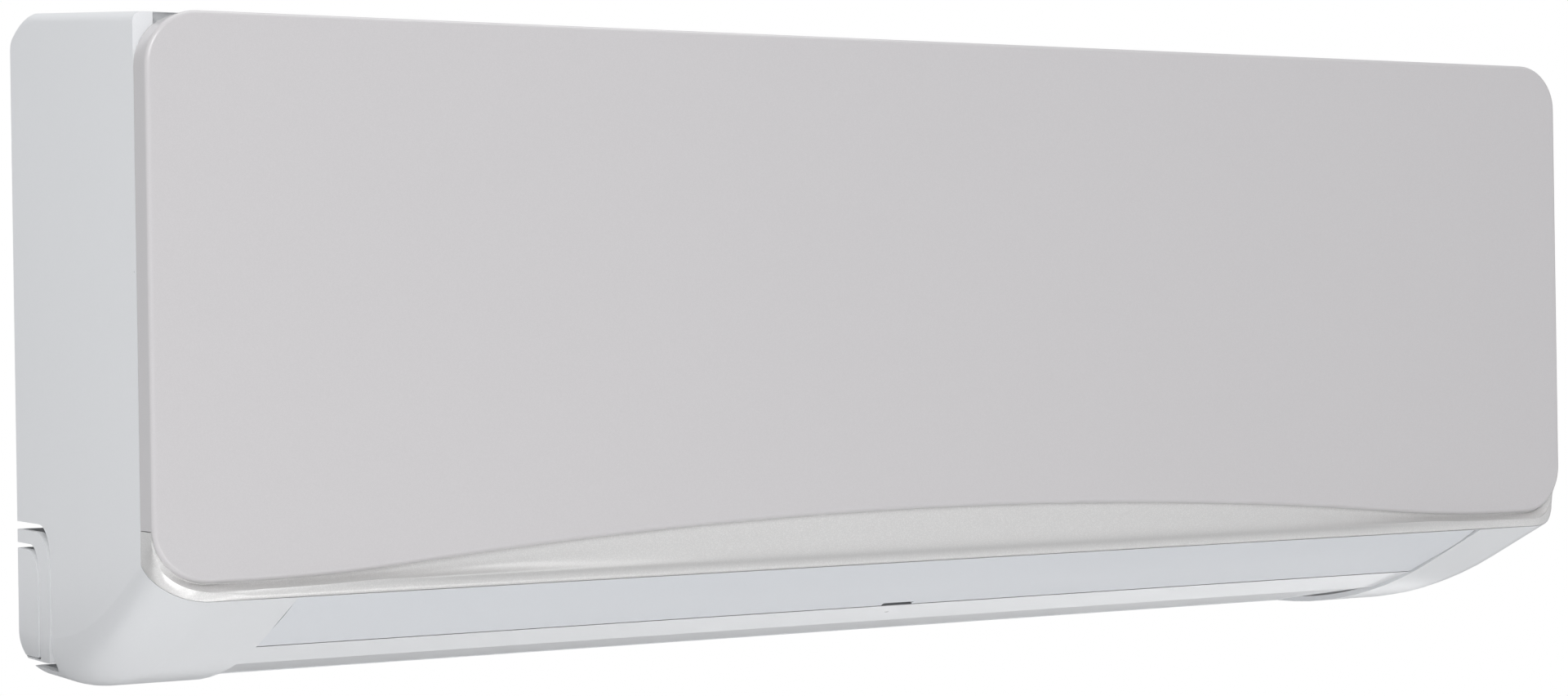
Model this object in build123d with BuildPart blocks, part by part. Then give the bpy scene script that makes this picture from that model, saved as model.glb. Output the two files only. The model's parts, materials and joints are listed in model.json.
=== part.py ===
from build123d import *
import os
from math import atan2, cos, degrees, hypot, pi, radians, sin, tan

# Wall-hung indoor air conditioner unit, in millimetres.
# X runs along the width, Y points into the wall (the wall is the plane Y = 0 and the unit's
# front faces -Y), Z is up.  The origin is the middle of the wall plate's back face.
# A "depth" is a distance in front of the wall, so a point at depth d lies at Y = -d.

# ---------------------------------------------------------------- overall sizes
unit_width = 715.0
unit_height = 283.0
panel_face = 187.0          # depth of the flat front panel's face
panel_rim = 14.7            # how deep the panel's rim reaches back
panel_gap = 0.3             # panel rim to casing
lip_reach = 5.5             # how far the silver trim's lip stands in front of the panel

half_width = unit_width / 2
top_z = unit_height / 2
bottom_z = -unit_height / 2
casing_front = panel_face - panel_rim - panel_gap

# ---------------------------------------------------------------- front casing
wall = 2.6
top_slope = 0.095           # the top falls towards the front
back_round = 32.0           # depth of the rounded top back corner
back_drop = 13.5            # height of the rounded top back corner
foot_round = 12.0           # depth of the rounded bottom back corner
foot_rise = 6.0            # height of the rounded bottom back corner
back_tight = 8.0            # radius of the tight arc where that corner meets the wall
foot_tight = 3.0
side_round = 21.0           # round between a side and the cheek under it
top_edge_round = 4.0
nose_depth = panel_face + lip_reach - 1.2
nose_z = bottom_z + 44.2
seam_top_z = bottom_z + 58.0    # where the trim's back edge starts to run forward
chin_slope = 25.7           # degrees, slope of the cheeks and of the closed flap
belly_radius = 270.0        # bend from the cheeks to the level underside

# ---------------------------------------------------------------- air outlet
outlet_half = half_width - 56.0     # half the width of the outlet between the cheeks
flap_gap = 0.8
flap_inset = 1.3            # the flap lies this far inside the cheeks' surface
flap_skin = 2.2
lip_front = 139.2           # depth of the lip's front edge
lip_break = 112.0           # depth where the bright lip strip turns under
lip_end = 36.0                 # depth where the lip's recess runs out

# ---------------------------------------------------------------- fan and motor
fan_depth = 88.0
fan_z = bottom_z + 111.5
fan_radius = 43.0
fan_left = -299.0
fan_right = 262.0
fan_blades = 35
fan_sections = 3
disc_thick = 2.0
blade_thick = 0.9
blade_root = 33.5
hub_radius = 14.0
stub_radius = 4.0
motor_shaft_radius = 4.0
running_gap = 0.06
motor_radius = 37.0
motor_left = 274.0
motor_length = 54.0

# ---------------------------------------------------------------- small round parts
small_round = 3.3
small_sides = 16
middle_round = 15.0
middle_sides = 24
large_sides = 48

# ---------------------------------------------------------------- inner walls
chassis_wall = 2.5
chassis_depth = 15.0        # depth of the chassis's back wall
left_wall_x = -306.0
right_wall_x = 268.5
duct_wall = 2.2
stabiliser_depth = 134.5
duct_floor_start = (-95.0, bottom_z + 27.0)
duct_floor_end_depth = 131.5
duct_floor_slope = 0.085

# ---------------------------------------------------------------- coil
coil_left = -284.0
coil_right = 244.0
coil_thick = 22.0
sheet_thick = 1.5
tube_radius = 3.5
tube_sides = 10             # bends and pipes are ten-sided to keep the model light
bend_radius = 10.5

# ---------------------------------------------------------------- vanes
vane_pivot_depth = 112.0
vane_first = 46.0
vane_pitch = 49.0
vanes_per_side = 5
vane_thick = 1.6
vane_pin_radius = 1.8
link_peg_radius = 1.5
link_depth = 146.0


def chin_point(along, inside=0.0):
    """A (Y, Z) point on the cheeks' sloping line, a distance from the nose and inside the skin."""
    slope = radians(chin_slope)
    y = -nose_depth + along * cos(slope) + inside * sin(slope)
    z = nose_z - along * sin(slope) + inside * cos(slope)
    return (y, z)


# The flap turns about a line near its lower edge, inside its skin.
flap_top = 2.7
flap_bottom = 55.2
pivot_up = 4.0
pivot_inside = 8.0
flap_axis = chin_point(flap_bottom - pivot_up, flap_inset + pivot_inside)

os.makedirs("parts", exist_ok=True)


def floor_z(depth):
    """Height of the middle of the air duct's floor, straight from the scroll to the outlet."""
    return duct_floor_start[1] - duct_floor_slope * (depth + duct_floor_start[0])


def panel_top_z(depth):
    """Height of the casing's sloping top at a depth."""
    return top_z - top_slope * (depth - back_round)


def save(part, label):
    part.label = label
    export_step(part, f"parts/{label}.step")


def prism(points, x_start, x_end):
    """A straight bar along X with the given (Y, Z) outline."""
    with BuildPart() as bar:
        with BuildSketch(Plane.YZ.offset(x_start)):
            with BuildLine():
                Polyline(points, close=True)
            make_face()
        extrude(amount=x_end - x_start)
    return bar.part


def sheet(points, thick, x_start, x_end):
    """A bent sheet along X that follows a (Y, Z) polyline."""
    with BuildPart() as bar:
        with BuildSketch(Plane.YZ.offset(x_start)):
            with BuildLine() as path:
                Polyline(points)
            trace(path.edges(), line_width=thick)
        extrude(amount=x_end - x_start)
    return bar.part


def disc(radius):
    """A round sketch; small ones are many-sided, which keeps the model's facets few."""
    if radius < small_round:
        return RegularPolygon(radius, small_sides)
    if radius < middle_round:
        return RegularPolygon(radius, middle_sides)
    return RegularPolygon(radius, large_sides)


def rod(y, z, radius, x_start, x_end, outline=disc):
    """A round bar along X."""
    with BuildPart() as bar:
        with BuildSketch(Plane.YZ.offset(x_start)):
            with Locations((y, z)):
                outline(radius)
        extrude(amount=x_end - x_start)
    return bar.part


def pivot_rod(y, z, radius, x_start, x_end):
    """A truly round bar along X, for what turns or carries what turns."""
    return rod(y, z, radius, x_start, x_end, Circle)


def peg(x, y, radius, low_z, high_z, outline=disc):
    """A round bar along Z."""
    with BuildPart() as bar:
        with BuildSketch(Plane.XY.offset(low_z)):
            with Locations((x, y)):
                outline(radius)
        extrude(amount=high_z - low_z)
    return bar.part


def pivot_peg(x, y, radius, low_z, high_z):
    """A truly round bar along Z, for what turns or carries what turns."""
    return peg(x, y, radius, low_z, high_z, Circle)


def stud(x, z, radius, low_y, high_y):
    """A round bar along Y."""
    with BuildPart() as bar:
        with BuildSketch(Plane.XZ.offset(-high_y)):
            with Locations((x, z)):
                disc(radius)
        extrude(amount=high_y - low_y)
    return bar.part


def block(x_range, y_range, z_range):
    """A box from its lowest and highest corners."""
    size = [span[1] - span[0] for span in (x_range, y_range, z_range)]
    middle = [(span[1] + span[0]) / 2 for span in (x_range, y_range, z_range)]
    with BuildPart() as bar:
        with Locations(tuple(middle)):
            Box(*size)
    return bar.part


# ---------------------------------------------------------------- casing envelope
def meet(first, first_angle, second, second_angle):
    """Where two lines cross, each given by a (Y, Z) point and its angle in radians."""
    run = (second[0] - first[0]) * sin(second_angle) - (second[1] - first[1]) * cos(second_angle)
    run /= sin(second_angle - first_angle)
    return (first[0] + run * cos(first_angle), first[1] + run * sin(first_angle))


def soft_corner(across, height, tight):
    """Two tangent arcs that round a corner: offsets of their centres, radii and joint angle."""
    wide = ((across - tight) ** 2 + height ** 2 - tight ** 2) / (2 * (height - tight))
    share = degrees(atan2(wide - height, across - tight))
    return (across - tight, 0.0), (0.0, height - wide), wide, share


def side_outline(square_foot, inset):
    """Side view of the casing as a face, or of the same form a wall's thickness further in."""
    seam_angle = atan2(seam_top_z - nose_z, nose_depth - casing_front)
    seam_point = (-casing_front + inset * sin(seam_angle), seam_top_z - inset * cos(seam_angle))
    chin = (chin_point(0, inset), -radians(chin_slope))
    front, floor, back = -casing_front + inset, bottom_z + inset, -inset
    seam_top = meet(seam_point, seam_angle, (front, 0), pi / 2)
    nose = meet(seam_point, seam_angle, *chin)
    belly_corner = meet((0, floor), 0, *chin)
    top_inset = inset / cos(atan2(top_slope, 1))
    front_top_z = panel_top_z(-front) - top_inset
    round_centre = (-back_round, top_z - back_drop)
    foot_centre = (-foot_round, bottom_z + foot_rise)
    foot = (back, floor) if square_foot else (-foot_round, floor)
    with BuildSketch() as outline:
        with BuildLine():
            if square_foot:
                Line((back, round_centre[1]), foot)
            else:
                Line((back, round_centre[1]), (back, foot_centre[1]))
                tight, wide, radius, turn = soft_corner(foot_round, foot_rise, foot_tight)
                CenterArc((foot_centre[0] + tight[0], foot_centre[1]), foot_tight - inset,
                          360 - turn, turn)
                CenterArc((foot_centre[0], foot_centre[1] - wide[1]), radius - inset,
                          270, 90 - turn)
            FilletPolyline(foot, belly_corner, nose, radius=belly_radius - inset)
            Polyline(nose, seam_top, (front, front_top_z), (-back_round, top_z - inset))
            tight, wide, radius, turn = soft_corner(back_round, back_drop, back_tight)
            CenterArc((round_centre[0], round_centre[1] + wide[1]), radius - inset,
                      turn, 90 - turn)
            CenterArc((round_centre[0] + tight[0], round_centre[1]), back_tight - inset,
                      0, turn)
        make_face()
    return outline.sketch


def casing_block(inset=0.0):
    """The casing's full outer form, or the same form a wall's thickness further in."""
    reach = half_width - inset
    with BuildPart() as form:
        with BuildSketch(Plane.YZ.offset(-reach)):
            add(side_outline(True, inset))
        extrude(amount=2 * reach)
        at_sides = [e for e in form.edges() if abs(abs(e.center().X) - reach) < 0.01]
        under = [
            e for e in at_sides
            if e.center().Z < nose_z - inset / 2 and e.bounding_box().size.Y > foot_round / 2
        ]
        fillet(under, side_round - inset)
        at_sides = [e for e in form.edges() if abs(abs(e.center().X) - reach) < 0.01]
        over = [
            e for e in at_sides
            if e.center().Z > top_z - back_drop and e.bounding_box().size.Y > 2 * back_round
        ]
        fillet(over, max(top_edge_round - inset, 1.0))
        with BuildSketch(Plane.YZ.offset(-reach)):
            add(side_outline(False, inset))
        extrude(amount=2 * reach, mode=Mode.INTERSECT)
    return form.part


casing_outer = casing_block()
casing_inner = casing_block(wall)
casing_shell = casing_outer - casing_inner


# ---------------------------------------------------------------- pipe exits
exit_depth = 52.0
exit_top_z = bottom_z + 68.0
exit_bottom_z = bottom_z + 5.5
exit_round = 16.0
cover_gap_top = 3.5
cover_gap_front = 1.2
cover_gap_bottom = 3.5
inner_exit_depth = 34.5
inner_exit_top_z = exit_top_z - 9.0
inner_exit_bottom_z = exit_bottom_z + cover_gap_bottom + 1.0
web_gap = 0.3
web_length = 6.0


def exit_prism(depth, low_z, high_z, corner, side, reach=30.0):
    """A slab through one side wall with a rounded upper front corner, open at the back."""
    with BuildPart() as slab:
        with BuildSketch(Plane.YZ.offset(side * (half_width + 1))):
            with BuildLine():
                FilletPolyline(
                    (6, low_z), (-depth, low_z), (-depth, high_z), (6, high_z), radius=corner
                )
                Line((6, high_z), (6, low_z))
            make_face()
        extrude(amount=-side * reach)
    return slab.part


# ---------------------------------------------------------------- front casing
window_half = 333.0
window_low_z = -20.0
window_high_z = 104.0
window_bar_x = -24.0
window_bar = 14.0
electrics_x = 268.0
slot_rows = 3
slot_columns = 16
slot_pitch_x = 38.0
slot_width = 32.0
slot_pitch_y = 38.0
slot_depth = 30.0
intake_middle_depth = 98.0
intake_middle_x = -24.0
hinge_depth = casing_front - 1.6
hinge_z = panel_top_z(casing_front) - 3.4
hinge_pin_radius = 1.8
hinge_clear_radius = 4.3
gutter_wall = 1.4
gutter_half = half_width - 8.0
bearing_width = 6.4
bearing_space = 0.6          # between a hinge bearing and what moves past it
hinge_arm = 3.0
hinge_arm_x = half_width - 29.0     # clear of the panel's rounded corners
casing_screw_x = (-241.0, 27.0, 241.0)
casing_screw_depth = 125.0
screw_radius = 1.5
screw_head_radius = 3.2
screw_head = 1.8
seat_gap = 0.3
cheek_hole_radius = 4.3



def bearing_start(side):
    """Low X end of the hinge bearing beside an arm."""
    middle = side * (hinge_arm_x - hinge_arm / 2 - bearing_space - bearing_width / 2)
    return middle - bearing_width / 2


with BuildPart() as front_casing:
    add(casing_shell)
    # open back
    with BuildSketch(Plane.XZ.offset(-1)):
        with Locations((0, (foot_rise - back_drop) / 2)):
            Rectangle(unit_width - 2 * wall, unit_height - foot_rise - back_drop - wall)
    extrude(amount=wall + 2, mode=Mode.SUBTRACT)
    # windows for the two filters and the electrics
    with BuildSketch(Plane.XZ.offset(casing_front - wall - 1)):
        spans = (
            (-window_half, window_bar_x - window_bar / 2),
            (window_bar_x + window_bar / 2, electrics_x - window_bar / 2),
            (electrics_x + window_bar / 2, window_half),
        )
        for low_x, high_x in spans:
            with Locations(((low_x + high_x) / 2, (window_low_z + window_high_z) / 2)):
                RectangleRounded(high_x - low_x, window_high_z - window_low_z, 5)
    extrude(amount=wall + 2, mode=Mode.SUBTRACT)
    # top intake slots
    with BuildSketch(Plane.XY.offset(top_z - 25)):
        with Locations((intake_middle_x, -intake_middle_depth)):
            with GridLocations(slot_pitch_x, slot_pitch_y, slot_columns, slot_rows):
                Rectangle(slot_width, slot_depth)
    extrude(amount=30, mode=Mode.SUBTRACT)
    # a lip inside the outlet's lower edge, then the recess that sets the lip strip back
    lip_outside = [
        (-lip_front, chin_point(flap_bottom, flap_inset)[1] - 0.6),
        (-lip_break, bottom_z + 11.8),
        (-lip_end, bottom_z + 0.3),
    ]
    lip_inside = [(y, z + wall) for y, z in reversed(lip_outside)]
    add(prism(lip_outside + lip_inside, -outlet_half - wall, outlet_half + wall))
    below = [(-lip_end, bottom_z - 9), (-lip_front, bottom_z - 9)]
    add(prism(lip_outside + below, -outlet_half, outlet_half), mode=Mode.SUBTRACT)
    # outlet opening under the trim
    shelf_z = nose_z - 0.1
    shelf_skin = 1.7
    seam_rise = (seam_top_z - nose_z) / (nose_depth - casing_front)
    opening = [
        (-nose_depth - 4, shelf_z), (-nose_depth + (shelf_skin - 0.1) / seam_rise, shelf_z),
        (-casing_front - 1, seam_top_z - seam_rise - shelf_skin),
        (-lip_front, nose_z - 2), (-lip_front, bottom_z), (-nose_depth - 4, bottom_z),
    ]
    add(prism(opening, -outlet_half, outlet_half), mode=Mode.SUBTRACT)
    # inner faces of the cheeks beside the flap
    cheek_depth = 11.0
    cheek_inset = 0.8
    cheek_side = [
        chin_point(0.4, 0.2), chin_point(flap_bottom + 2, cheek_inset),
        chin_point(flap_bottom + 2, cheek_depth), chin_point(9.0, cheek_depth),
    ]
    for side in (-1, 1):
        low_x = min(side * outlet_half, side * (outlet_half + wall))
        add(prism(cheek_side, low_x, low_x + wall))
        # hole for the flap's pin
        add(rod(*flap_axis, cheek_hole_radius, low_x - 1, low_x + wall + 1),
            mode=Mode.SUBTRACT)
    # room for the flap's lower edge as it swings in
    swing_radius = hypot(pivot_up, pivot_inside) + 0.7
    add(rod(*flap_axis, swing_radius, -outlet_half, outlet_half), mode=Mode.SUBTRACT)
    # bosses for the casing screws
    boss_top_z = floor_z(casing_screw_depth) - chassis_wall / 2 - 2 * seat_gap
    for x in casing_screw_x:
        add(peg(x, -casing_screw_depth, 4.0, boss_top_z - 9.0, boss_top_z))
        add(peg(x, -casing_screw_depth, screw_radius + running_gap, boss_top_z - 6.0,
                boss_top_z + 1), mode=Mode.SUBTRACT)
    add(prism(lip_outside + below, -outlet_half, outlet_half), mode=Mode.SUBTRACT)
    # closed gutter that clears the panel's hinge edge, with the hinge bearings in it
    gutter = rod(-hinge_depth, hinge_z, hinge_clear_radius + gutter_wall,
                 -half_width + 1, half_width - 1)
    add(gutter & casing_outer)
    add(rod(-hinge_depth, hinge_z, hinge_clear_radius, -gutter_half, gutter_half),
        mode=Mode.SUBTRACT)
    for side in (-1, 1):
        bearing_low = bearing_start(side)
        add(block((bearing_low, bearing_low + bearing_width), (-casing_front, 5 - hinge_depth),
                  (hinge_z - 5, hinge_z + 2.35)))
        add(pivot_rod(-hinge_depth, hinge_z, hinge_pin_radius + running_gap,
                      bearing_low - 1, bearing_low + bearing_width + 1), mode=Mode.SUBTRACT)
        # pipe exit
        add(exit_prism(exit_depth, exit_bottom_z, exit_top_z, exit_round, side),
            mode=Mode.SUBTRACT)

save(front_casing.part, "front_casing")

# ---------------------------------------------------------------- knock-out covers
for side, hand in ((-1, "left"), (1, "right")):
    front_edge = exit_depth - cover_gap_front
    outer_top_z = exit_top_z - cover_gap_top
    outer_low_z = exit_bottom_z + cover_gap_bottom
    with BuildPart() as outer_cover:
        add(exit_prism(front_edge, outer_low_z, outer_top_z, exit_round + 3, side))
        add(exit_prism(inner_exit_depth, inner_exit_bottom_z, inner_exit_top_z,
                       exit_round - 4, side), mode=Mode.SUBTRACT)
        # break-off webs that reach the casing
        for web_z in (outer_top_z - 30, outer_low_z + 16):
            web_x = side * (half_width - wall + 0.4)
            add(block((web_x - 0.4, web_x + 0.4), (-exit_depth + web_gap, -front_edge + 1),
                      (web_z - web_length / 2, web_z + web_length / 2)))
        add(casing_shell, mode=Mode.INTERSECT)
    save(outer_cover.part, f"{hand}_exit_cover")
    with BuildPart() as inner_cover:
        inner_edge = inner_exit_depth - cover_gap_front
        inner_top = inner_exit_top_z - cover_gap_top + 1
        add(exit_prism(inner_edge, inner_exit_bottom_z + 0.4, inner_top, exit_round - 2, side))
        for web_z in (inner_top - 24, inner_exit_bottom_z + 14):
            web_x = side * (half_width - wall + 0.4)
            add(block((web_x - 0.4, web_x + 0.4), (-inner_exit_depth + web_gap, -inner_edge + 1),
                      (web_z - web_length / 2, web_z + web_length / 2)))
        add(casing_shell, mode=Mode.INTERSECT)
    save(inner_cover.part, f"{hand}_exit_inner_cover")

# ---------------------------------------------------------------- front panel
panel_skin = 2.4
rim_wall = 2.2
panel_top_round = 21.0
panel_low_round = 22.0
wave_crest_z = bottom_z + 66.8
wave_low_z = bottom_z + 51.0
wave_run = half_width - 35.5
rim_end_z = bottom_z + 71.5
panel_edge_round = 2.0
panel_crown_z = panel_top_z(casing_front) - 0.3


wave_bend_x = wave_run - 67.0   # where the wave turns from its crest to its tail
wave_turn = 2 * atan2(wave_crest_z - wave_low_z, wave_run)
crest_radius = wave_bend_x / sin(wave_turn)
tail_radius = (wave_run - wave_bend_x) / sin(wave_turn)


def wave_z(x):
    """Height of the panel's wavy lower edge: a wide crest arc that runs out in two tails."""
    if abs(x) < wave_bend_x:
        return wave_crest_z - crest_radius + (crest_radius ** 2 - x ** 2) ** 0.5
    rest = max(wave_run - abs(x), 0.0)
    return wave_low_z + tail_radius - (tail_radius ** 2 - rest ** 2) ** 0.5


def panel_outline(inset):
    """Front view of the panel, drawn to its side edges and its wave."""
    side = half_width - inset
    top = panel_crown_z - inset
    tail = (wave_run, wave_low_z + inset)
    bend = (wave_bend_x, wave_z(wave_bend_x) + inset)
    half_tail_x = (wave_bend_x + wave_run) / 2
    half_tail = (half_tail_x, wave_z(half_tail_x) + inset)
    with BuildSketch() as outline:
        with BuildLine():
            ThreePointArc((-tail[0], tail[1]), (-half_tail[0], half_tail[1]),
                          (-bend[0], bend[1]))
            ThreePointArc((-bend[0], bend[1]), (0, wave_crest_z + inset), bend)
            ThreePointArc(bend, half_tail, tail)
            FilletPolyline(
                tail, (side, tail[1]), (side, 0), radius=panel_low_round - inset
            )
            FilletPolyline(
                (side, 0), (side, top), (-side, top), (-side, 0), radius=panel_top_round - inset
            )
            FilletPolyline(
                (-side, 0), (-side, tail[1]), (-tail[0], tail[1]),
                radius=panel_low_round - inset,
            )
        make_face()
    return outline.sketch


with BuildPart() as front_panel:
    with BuildSketch(Plane.XZ.offset(casing_front + panel_gap)):
        add(panel_outline(0))
    extrude(amount=panel_rim)
    front_edges = [
        e for e in front_panel.edges() if abs(e.center().Y + panel_face) < 0.01
    ]
    fillet(front_edges, panel_edge_round)
    # hollow back, and no rim below its end
    with BuildSketch(Plane.XZ.offset(casing_front)):
        add(panel_outline(rim_wall))
    extrude(amount=panel_rim + panel_gap - panel_skin, mode=Mode.SUBTRACT)
    low_cut = ((-half_width - 1, half_width + 1),
               (-panel_face + panel_skin, -casing_front + 1), (bottom_z, rim_end_z))
    add(block(*low_cut), mode=Mode.SUBTRACT)
    # hinge arms with their pins, and the rim thinned where it passes the bearings
    for side in (-1, 1):
        bearing_low = bearing_start(side)
        add(block((bearing_low - bearing_space, bearing_low + bearing_width + bearing_space),
                  (-casing_front - panel_gap - 2.3, -casing_front),
                  (hinge_z - 3, hinge_z + 2.5)), mode=Mode.SUBTRACT)
        arm_low = side * hinge_arm_x - hinge_arm / 2
        with BuildSketch(Plane.YZ.offset(arm_low)):
            with BuildLine():
                Polyline((-panel_face + 1, hinge_z - 14), (-panel_face + 1, hinge_z + 2.6),
                         (-hinge_depth, hinge_z + 3.0), (-hinge_depth + 2.8, hinge_z),
                         (-hinge_depth, hinge_z - 3.0), (-hinge_depth - 6, hinge_z - 4),
                         close=True)
            make_face()
        extrude(amount=hinge_arm)
        pin_start = arm_low if side > 0 else arm_low + hinge_arm
        pin_low = min(pin_start, pin_start - side * 7.0)
        add(pivot_rod(-hinge_depth, hinge_z, hinge_pin_radius, pin_low, pin_low + 7.0))
save(front_panel.part, "front_panel")

# ---------------------------------------------------------------- silver trim
trim_skin = 2.0
trim_round = 25.0
trim_gap = 0.3
crease_rise = 4.9
seam_angle = atan2(seam_top_z - nose_z, nose_depth - casing_front)
trim_low_z = nose_z + trim_gap
behind_panel = panel_face - panel_skin - trim_gap
trim_stations = (
    (-half_width, 0.2), (-wave_run, 0.75), (-260.0, 1.0), (-190.0, 1.0), (-100.0, 1.0),
    (0.0, 1.0),
    (100.0, 1.0), (190.0, 1.0), (260.0, 1.0), (wave_run, 0.75), (half_width, 0.2),
)


def above_seam(depth):
    """A (Y, Z) point just above the casing's sloping seam face."""
    return (-depth, nose_z + (nose_depth - depth) * tan(seam_angle) + trim_gap / cos(seam_angle))


def between(first, second, share):
    """A point part of the way from one (Y, Z) point to another."""
    return tuple(a + (b - a) * share for a, b in zip(first, second))


def trim_section(x, reach):
    """Side view of the trim: hidden flange, concave face, crease and rolled lip."""
    lip = panel_face - 1.5 + reach * (lip_reach + 1.5)
    edge_z = wave_z(x) - 0.5
    back = behind_panel - trim_skin
    corner = (-behind_panel, edge_z)
    crease = (-lip + 1.9 * reach, trim_low_z + crease_rise)
    low_z = max(trim_low_z, above_seam(lip - reach)[1] + 0.05)
    low_front = (-lip + 1.0 * reach, low_z)
    sag = 0.9 * reach
    # a shell where the strip is tall, solid down to the seam where it is low
    tall = max(0.0, min(1.0, (edge_z - above_seam(behind_panel)[1] - 3.0) / 8.0))
    seam_y, seam_z = above_seam(back + 2.5)
    inner_low = between((seam_y, seam_z + 0.3), (crease[0] + 2.2, crease[1] + 0.6), tall)
    inner_top = between(above_seam(back), (-back, edge_z + 0.8), tall)
    with BuildSketch() as section:
        with BuildLine():
            Line((-behind_panel, edge_z + 4.5), corner)
            Polyline(
                corner,
                (corner[0] * 0.7 + crease[0] * 0.3 + 0.8 * sag,
                 corner[1] * 0.7 + crease[1] * 0.3 - 0.4 * sag),
                (corner[0] * 0.35 + crease[0] * 0.65 + 0.8 * sag,
                 corner[1] * 0.35 + crease[1] * 0.65 - 0.4 * sag),
                crease, (-lip + 0.3 * reach, crease[1] * 0.7 + low_z * 0.3),
                (-lip, crease[1] * 0.35 + low_z * 0.65), low_front,
            )
            Polyline(
                low_front, above_seam(lip - 3.5 * reach - 0.6), inner_low, inner_top,
                (-back, edge_z + 4.5), (-behind_panel, edge_z + 4.5),
            )
        make_face()
    return section.sketch


def trim_outline(inset):
    """Front view of the trim's outer edge, closed far above its ends."""
    side = half_width - inset
    low = trim_low_z + inset
    with BuildSketch() as outline:
        with BuildLine():
            FilletPolyline(
                (-side, 0), (-side, low), (side, low), (side, 0), radius=trim_round - inset
            )
            Line((side, 0), (-side, 0))
        make_face()
    return outline.sketch


with BuildPart() as silver_trim:
    # the visible face, from behind the panel's wave down to the lip
    for x, reach in trim_stations:
        with BuildSketch(Plane.YZ.offset(x)):
            add(trim_section(x, reach))
    loft(ruled=True)
    with BuildSketch(Plane.XZ.offset(casing_front)):
        add(trim_outline(0))
    extrude(amount=panel_rim + lip_reach + 10, mode=Mode.INTERSECT)
    # the rim that wraps the lower corners and ends square at the panel's rim
    with BuildSketch(Plane.XZ.offset(casing_front + trim_gap)):
        add(trim_outline(0))
        add(trim_outline(trim_skin), mode=Mode.SUBTRACT)
        with Locations((0, rim_end_z - trim_gap + 50)):
            Rectangle(2 * unit_width, 100, mode=Mode.SUBTRACT)
        with Locations((0, trim_low_z)):
            Rectangle(2 * (half_width - trim_round), 30, mode=Mode.SUBTRACT)
    extrude(amount=behind_panel - casing_front - trim_gap)
    seam_cut = [
        above_seam(casing_front - 5), above_seam(nose_depth + 5),
        (-nose_depth - 5, bottom_z), (-casing_front + 5, bottom_z),
    ]
    add(prism(seam_cut, -unit_width, unit_width), mode=Mode.SUBTRACT)
save(silver_trim.part, "silver_trim")

# ---------------------------------------------------------------- flap over the outlet
flap_half = outlet_half - flap_gap
flap_bulge = 0.9
pin_reach = 7.0
flap_pin_radius = 2.5
middle_pin_radius = 2.0
notch_half = 8.0
notch_up = 2.6
middle_rib = 2.0
flap_rib_height = 3.0
eye_radius = 4.4

with BuildPart() as louver:
    with BuildSketch(Plane.YZ.offset(-flap_half)):
        with BuildLine():
            outer_top = chin_point(flap_top, flap_inset)
            outer_low = chin_point(flap_bottom, flap_inset)
            inner_low = chin_point(flap_bottom - 0.4, flap_inset + flap_skin)
            inner_top = chin_point(flap_top + 2.0, flap_inset + flap_skin)
            half_way = (flap_top + flap_bottom) / 2
            ThreePointArc(outer_top, chin_point(half_way, flap_inset - flap_bulge), outer_low)
            Line(outer_low, inner_low)
            ThreePointArc(
                inner_low, chin_point(half_way, flap_inset - flap_bulge + flap_skin), inner_top
            )
            Line(inner_top, outer_top)
        make_face()
    extrude(amount=2 * flap_half)
    # stiffening ribs along the inside
    for along in (14.0, 30.0):
        rib = [chin_point(along, flap_skin), chin_point(along + 1.6, flap_skin),
               chin_point(along + 1.4, flap_inset + flap_skin + flap_rib_height),
               chin_point(along + 0.2, flap_inset + flap_skin + flap_rib_height)]
        add(prism(rib, -flap_half + 6, flap_half - 6))
    # end ears and the ears either side of the middle pin
    ear = [
        chin_point(flap_bottom - 14, flap_skin), chin_point(flap_bottom - 1.0, flap_skin + 0.6),
        (flap_axis[0] + 4.0, flap_axis[1] - 2.5), (flap_axis[0] + 3.2, flap_axis[1] + 3.2),
        (flap_axis[0] - 3.2, flap_axis[1] + 4.2),
    ]
    ear_width = 3.5
    for low_x in (-flap_half, flap_half - ear_width,
                  -notch_half - middle_rib, notch_half):
        width = ear_width if abs(low_x) > outlet_half / 2 else middle_rib
        add(prism(ear, low_x, low_x + width))
    # the notch for the middle bracket
    notch = [chin_point(flap_bottom - notch_up, -3), chin_point(flap_bottom + 2, -3),
             chin_point(flap_bottom + 2, 5), chin_point(flap_bottom - notch_up, 5)]
    add(prism(notch, -notch_half, notch_half), mode=Mode.SUBTRACT)
    # pins
    add(pivot_rod(*flap_axis, middle_pin_radius, -notch_half, notch_half))
    add(pivot_rod(*flap_axis, flap_pin_radius, -flap_half - pin_reach, -flap_half))
    # socket for the drive shaft
    add(rod(*flap_axis, flap_pin_radius, flap_half - ear_width - 1, flap_half + 1),
        mode=Mode.SUBTRACT)
save(louver.part, "louver")

with BuildPart() as bracket:
    floor_top = chassis_wall / 2 + running_gap
    arm_line = [
        (flap_axis[0], flap_axis[1] + 4.2), (flap_axis[0] + 14.0, flap_axis[1] + 3.6),
        (-116.0, floor_z(116.0) + floor_top + 2.2), (-113.0, floor_z(113.0) + floor_top),
        (-129.6, floor_z(129.6) + floor_top), (-130.2, flap_axis[1] - 1.2),
        (flap_axis[0], flap_axis[1] - 1.2),
    ]
    add(prism(arm_line, -3.0, 3.0))
    add(rod(*flap_axis, eye_radius, -3.0, 3.0))
    add(pivot_rod(*flap_axis, middle_pin_radius + running_gap, -4.0, 4.0), mode=Mode.SUBTRACT)
save(bracket.part, "louver_center_bracket")

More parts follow.
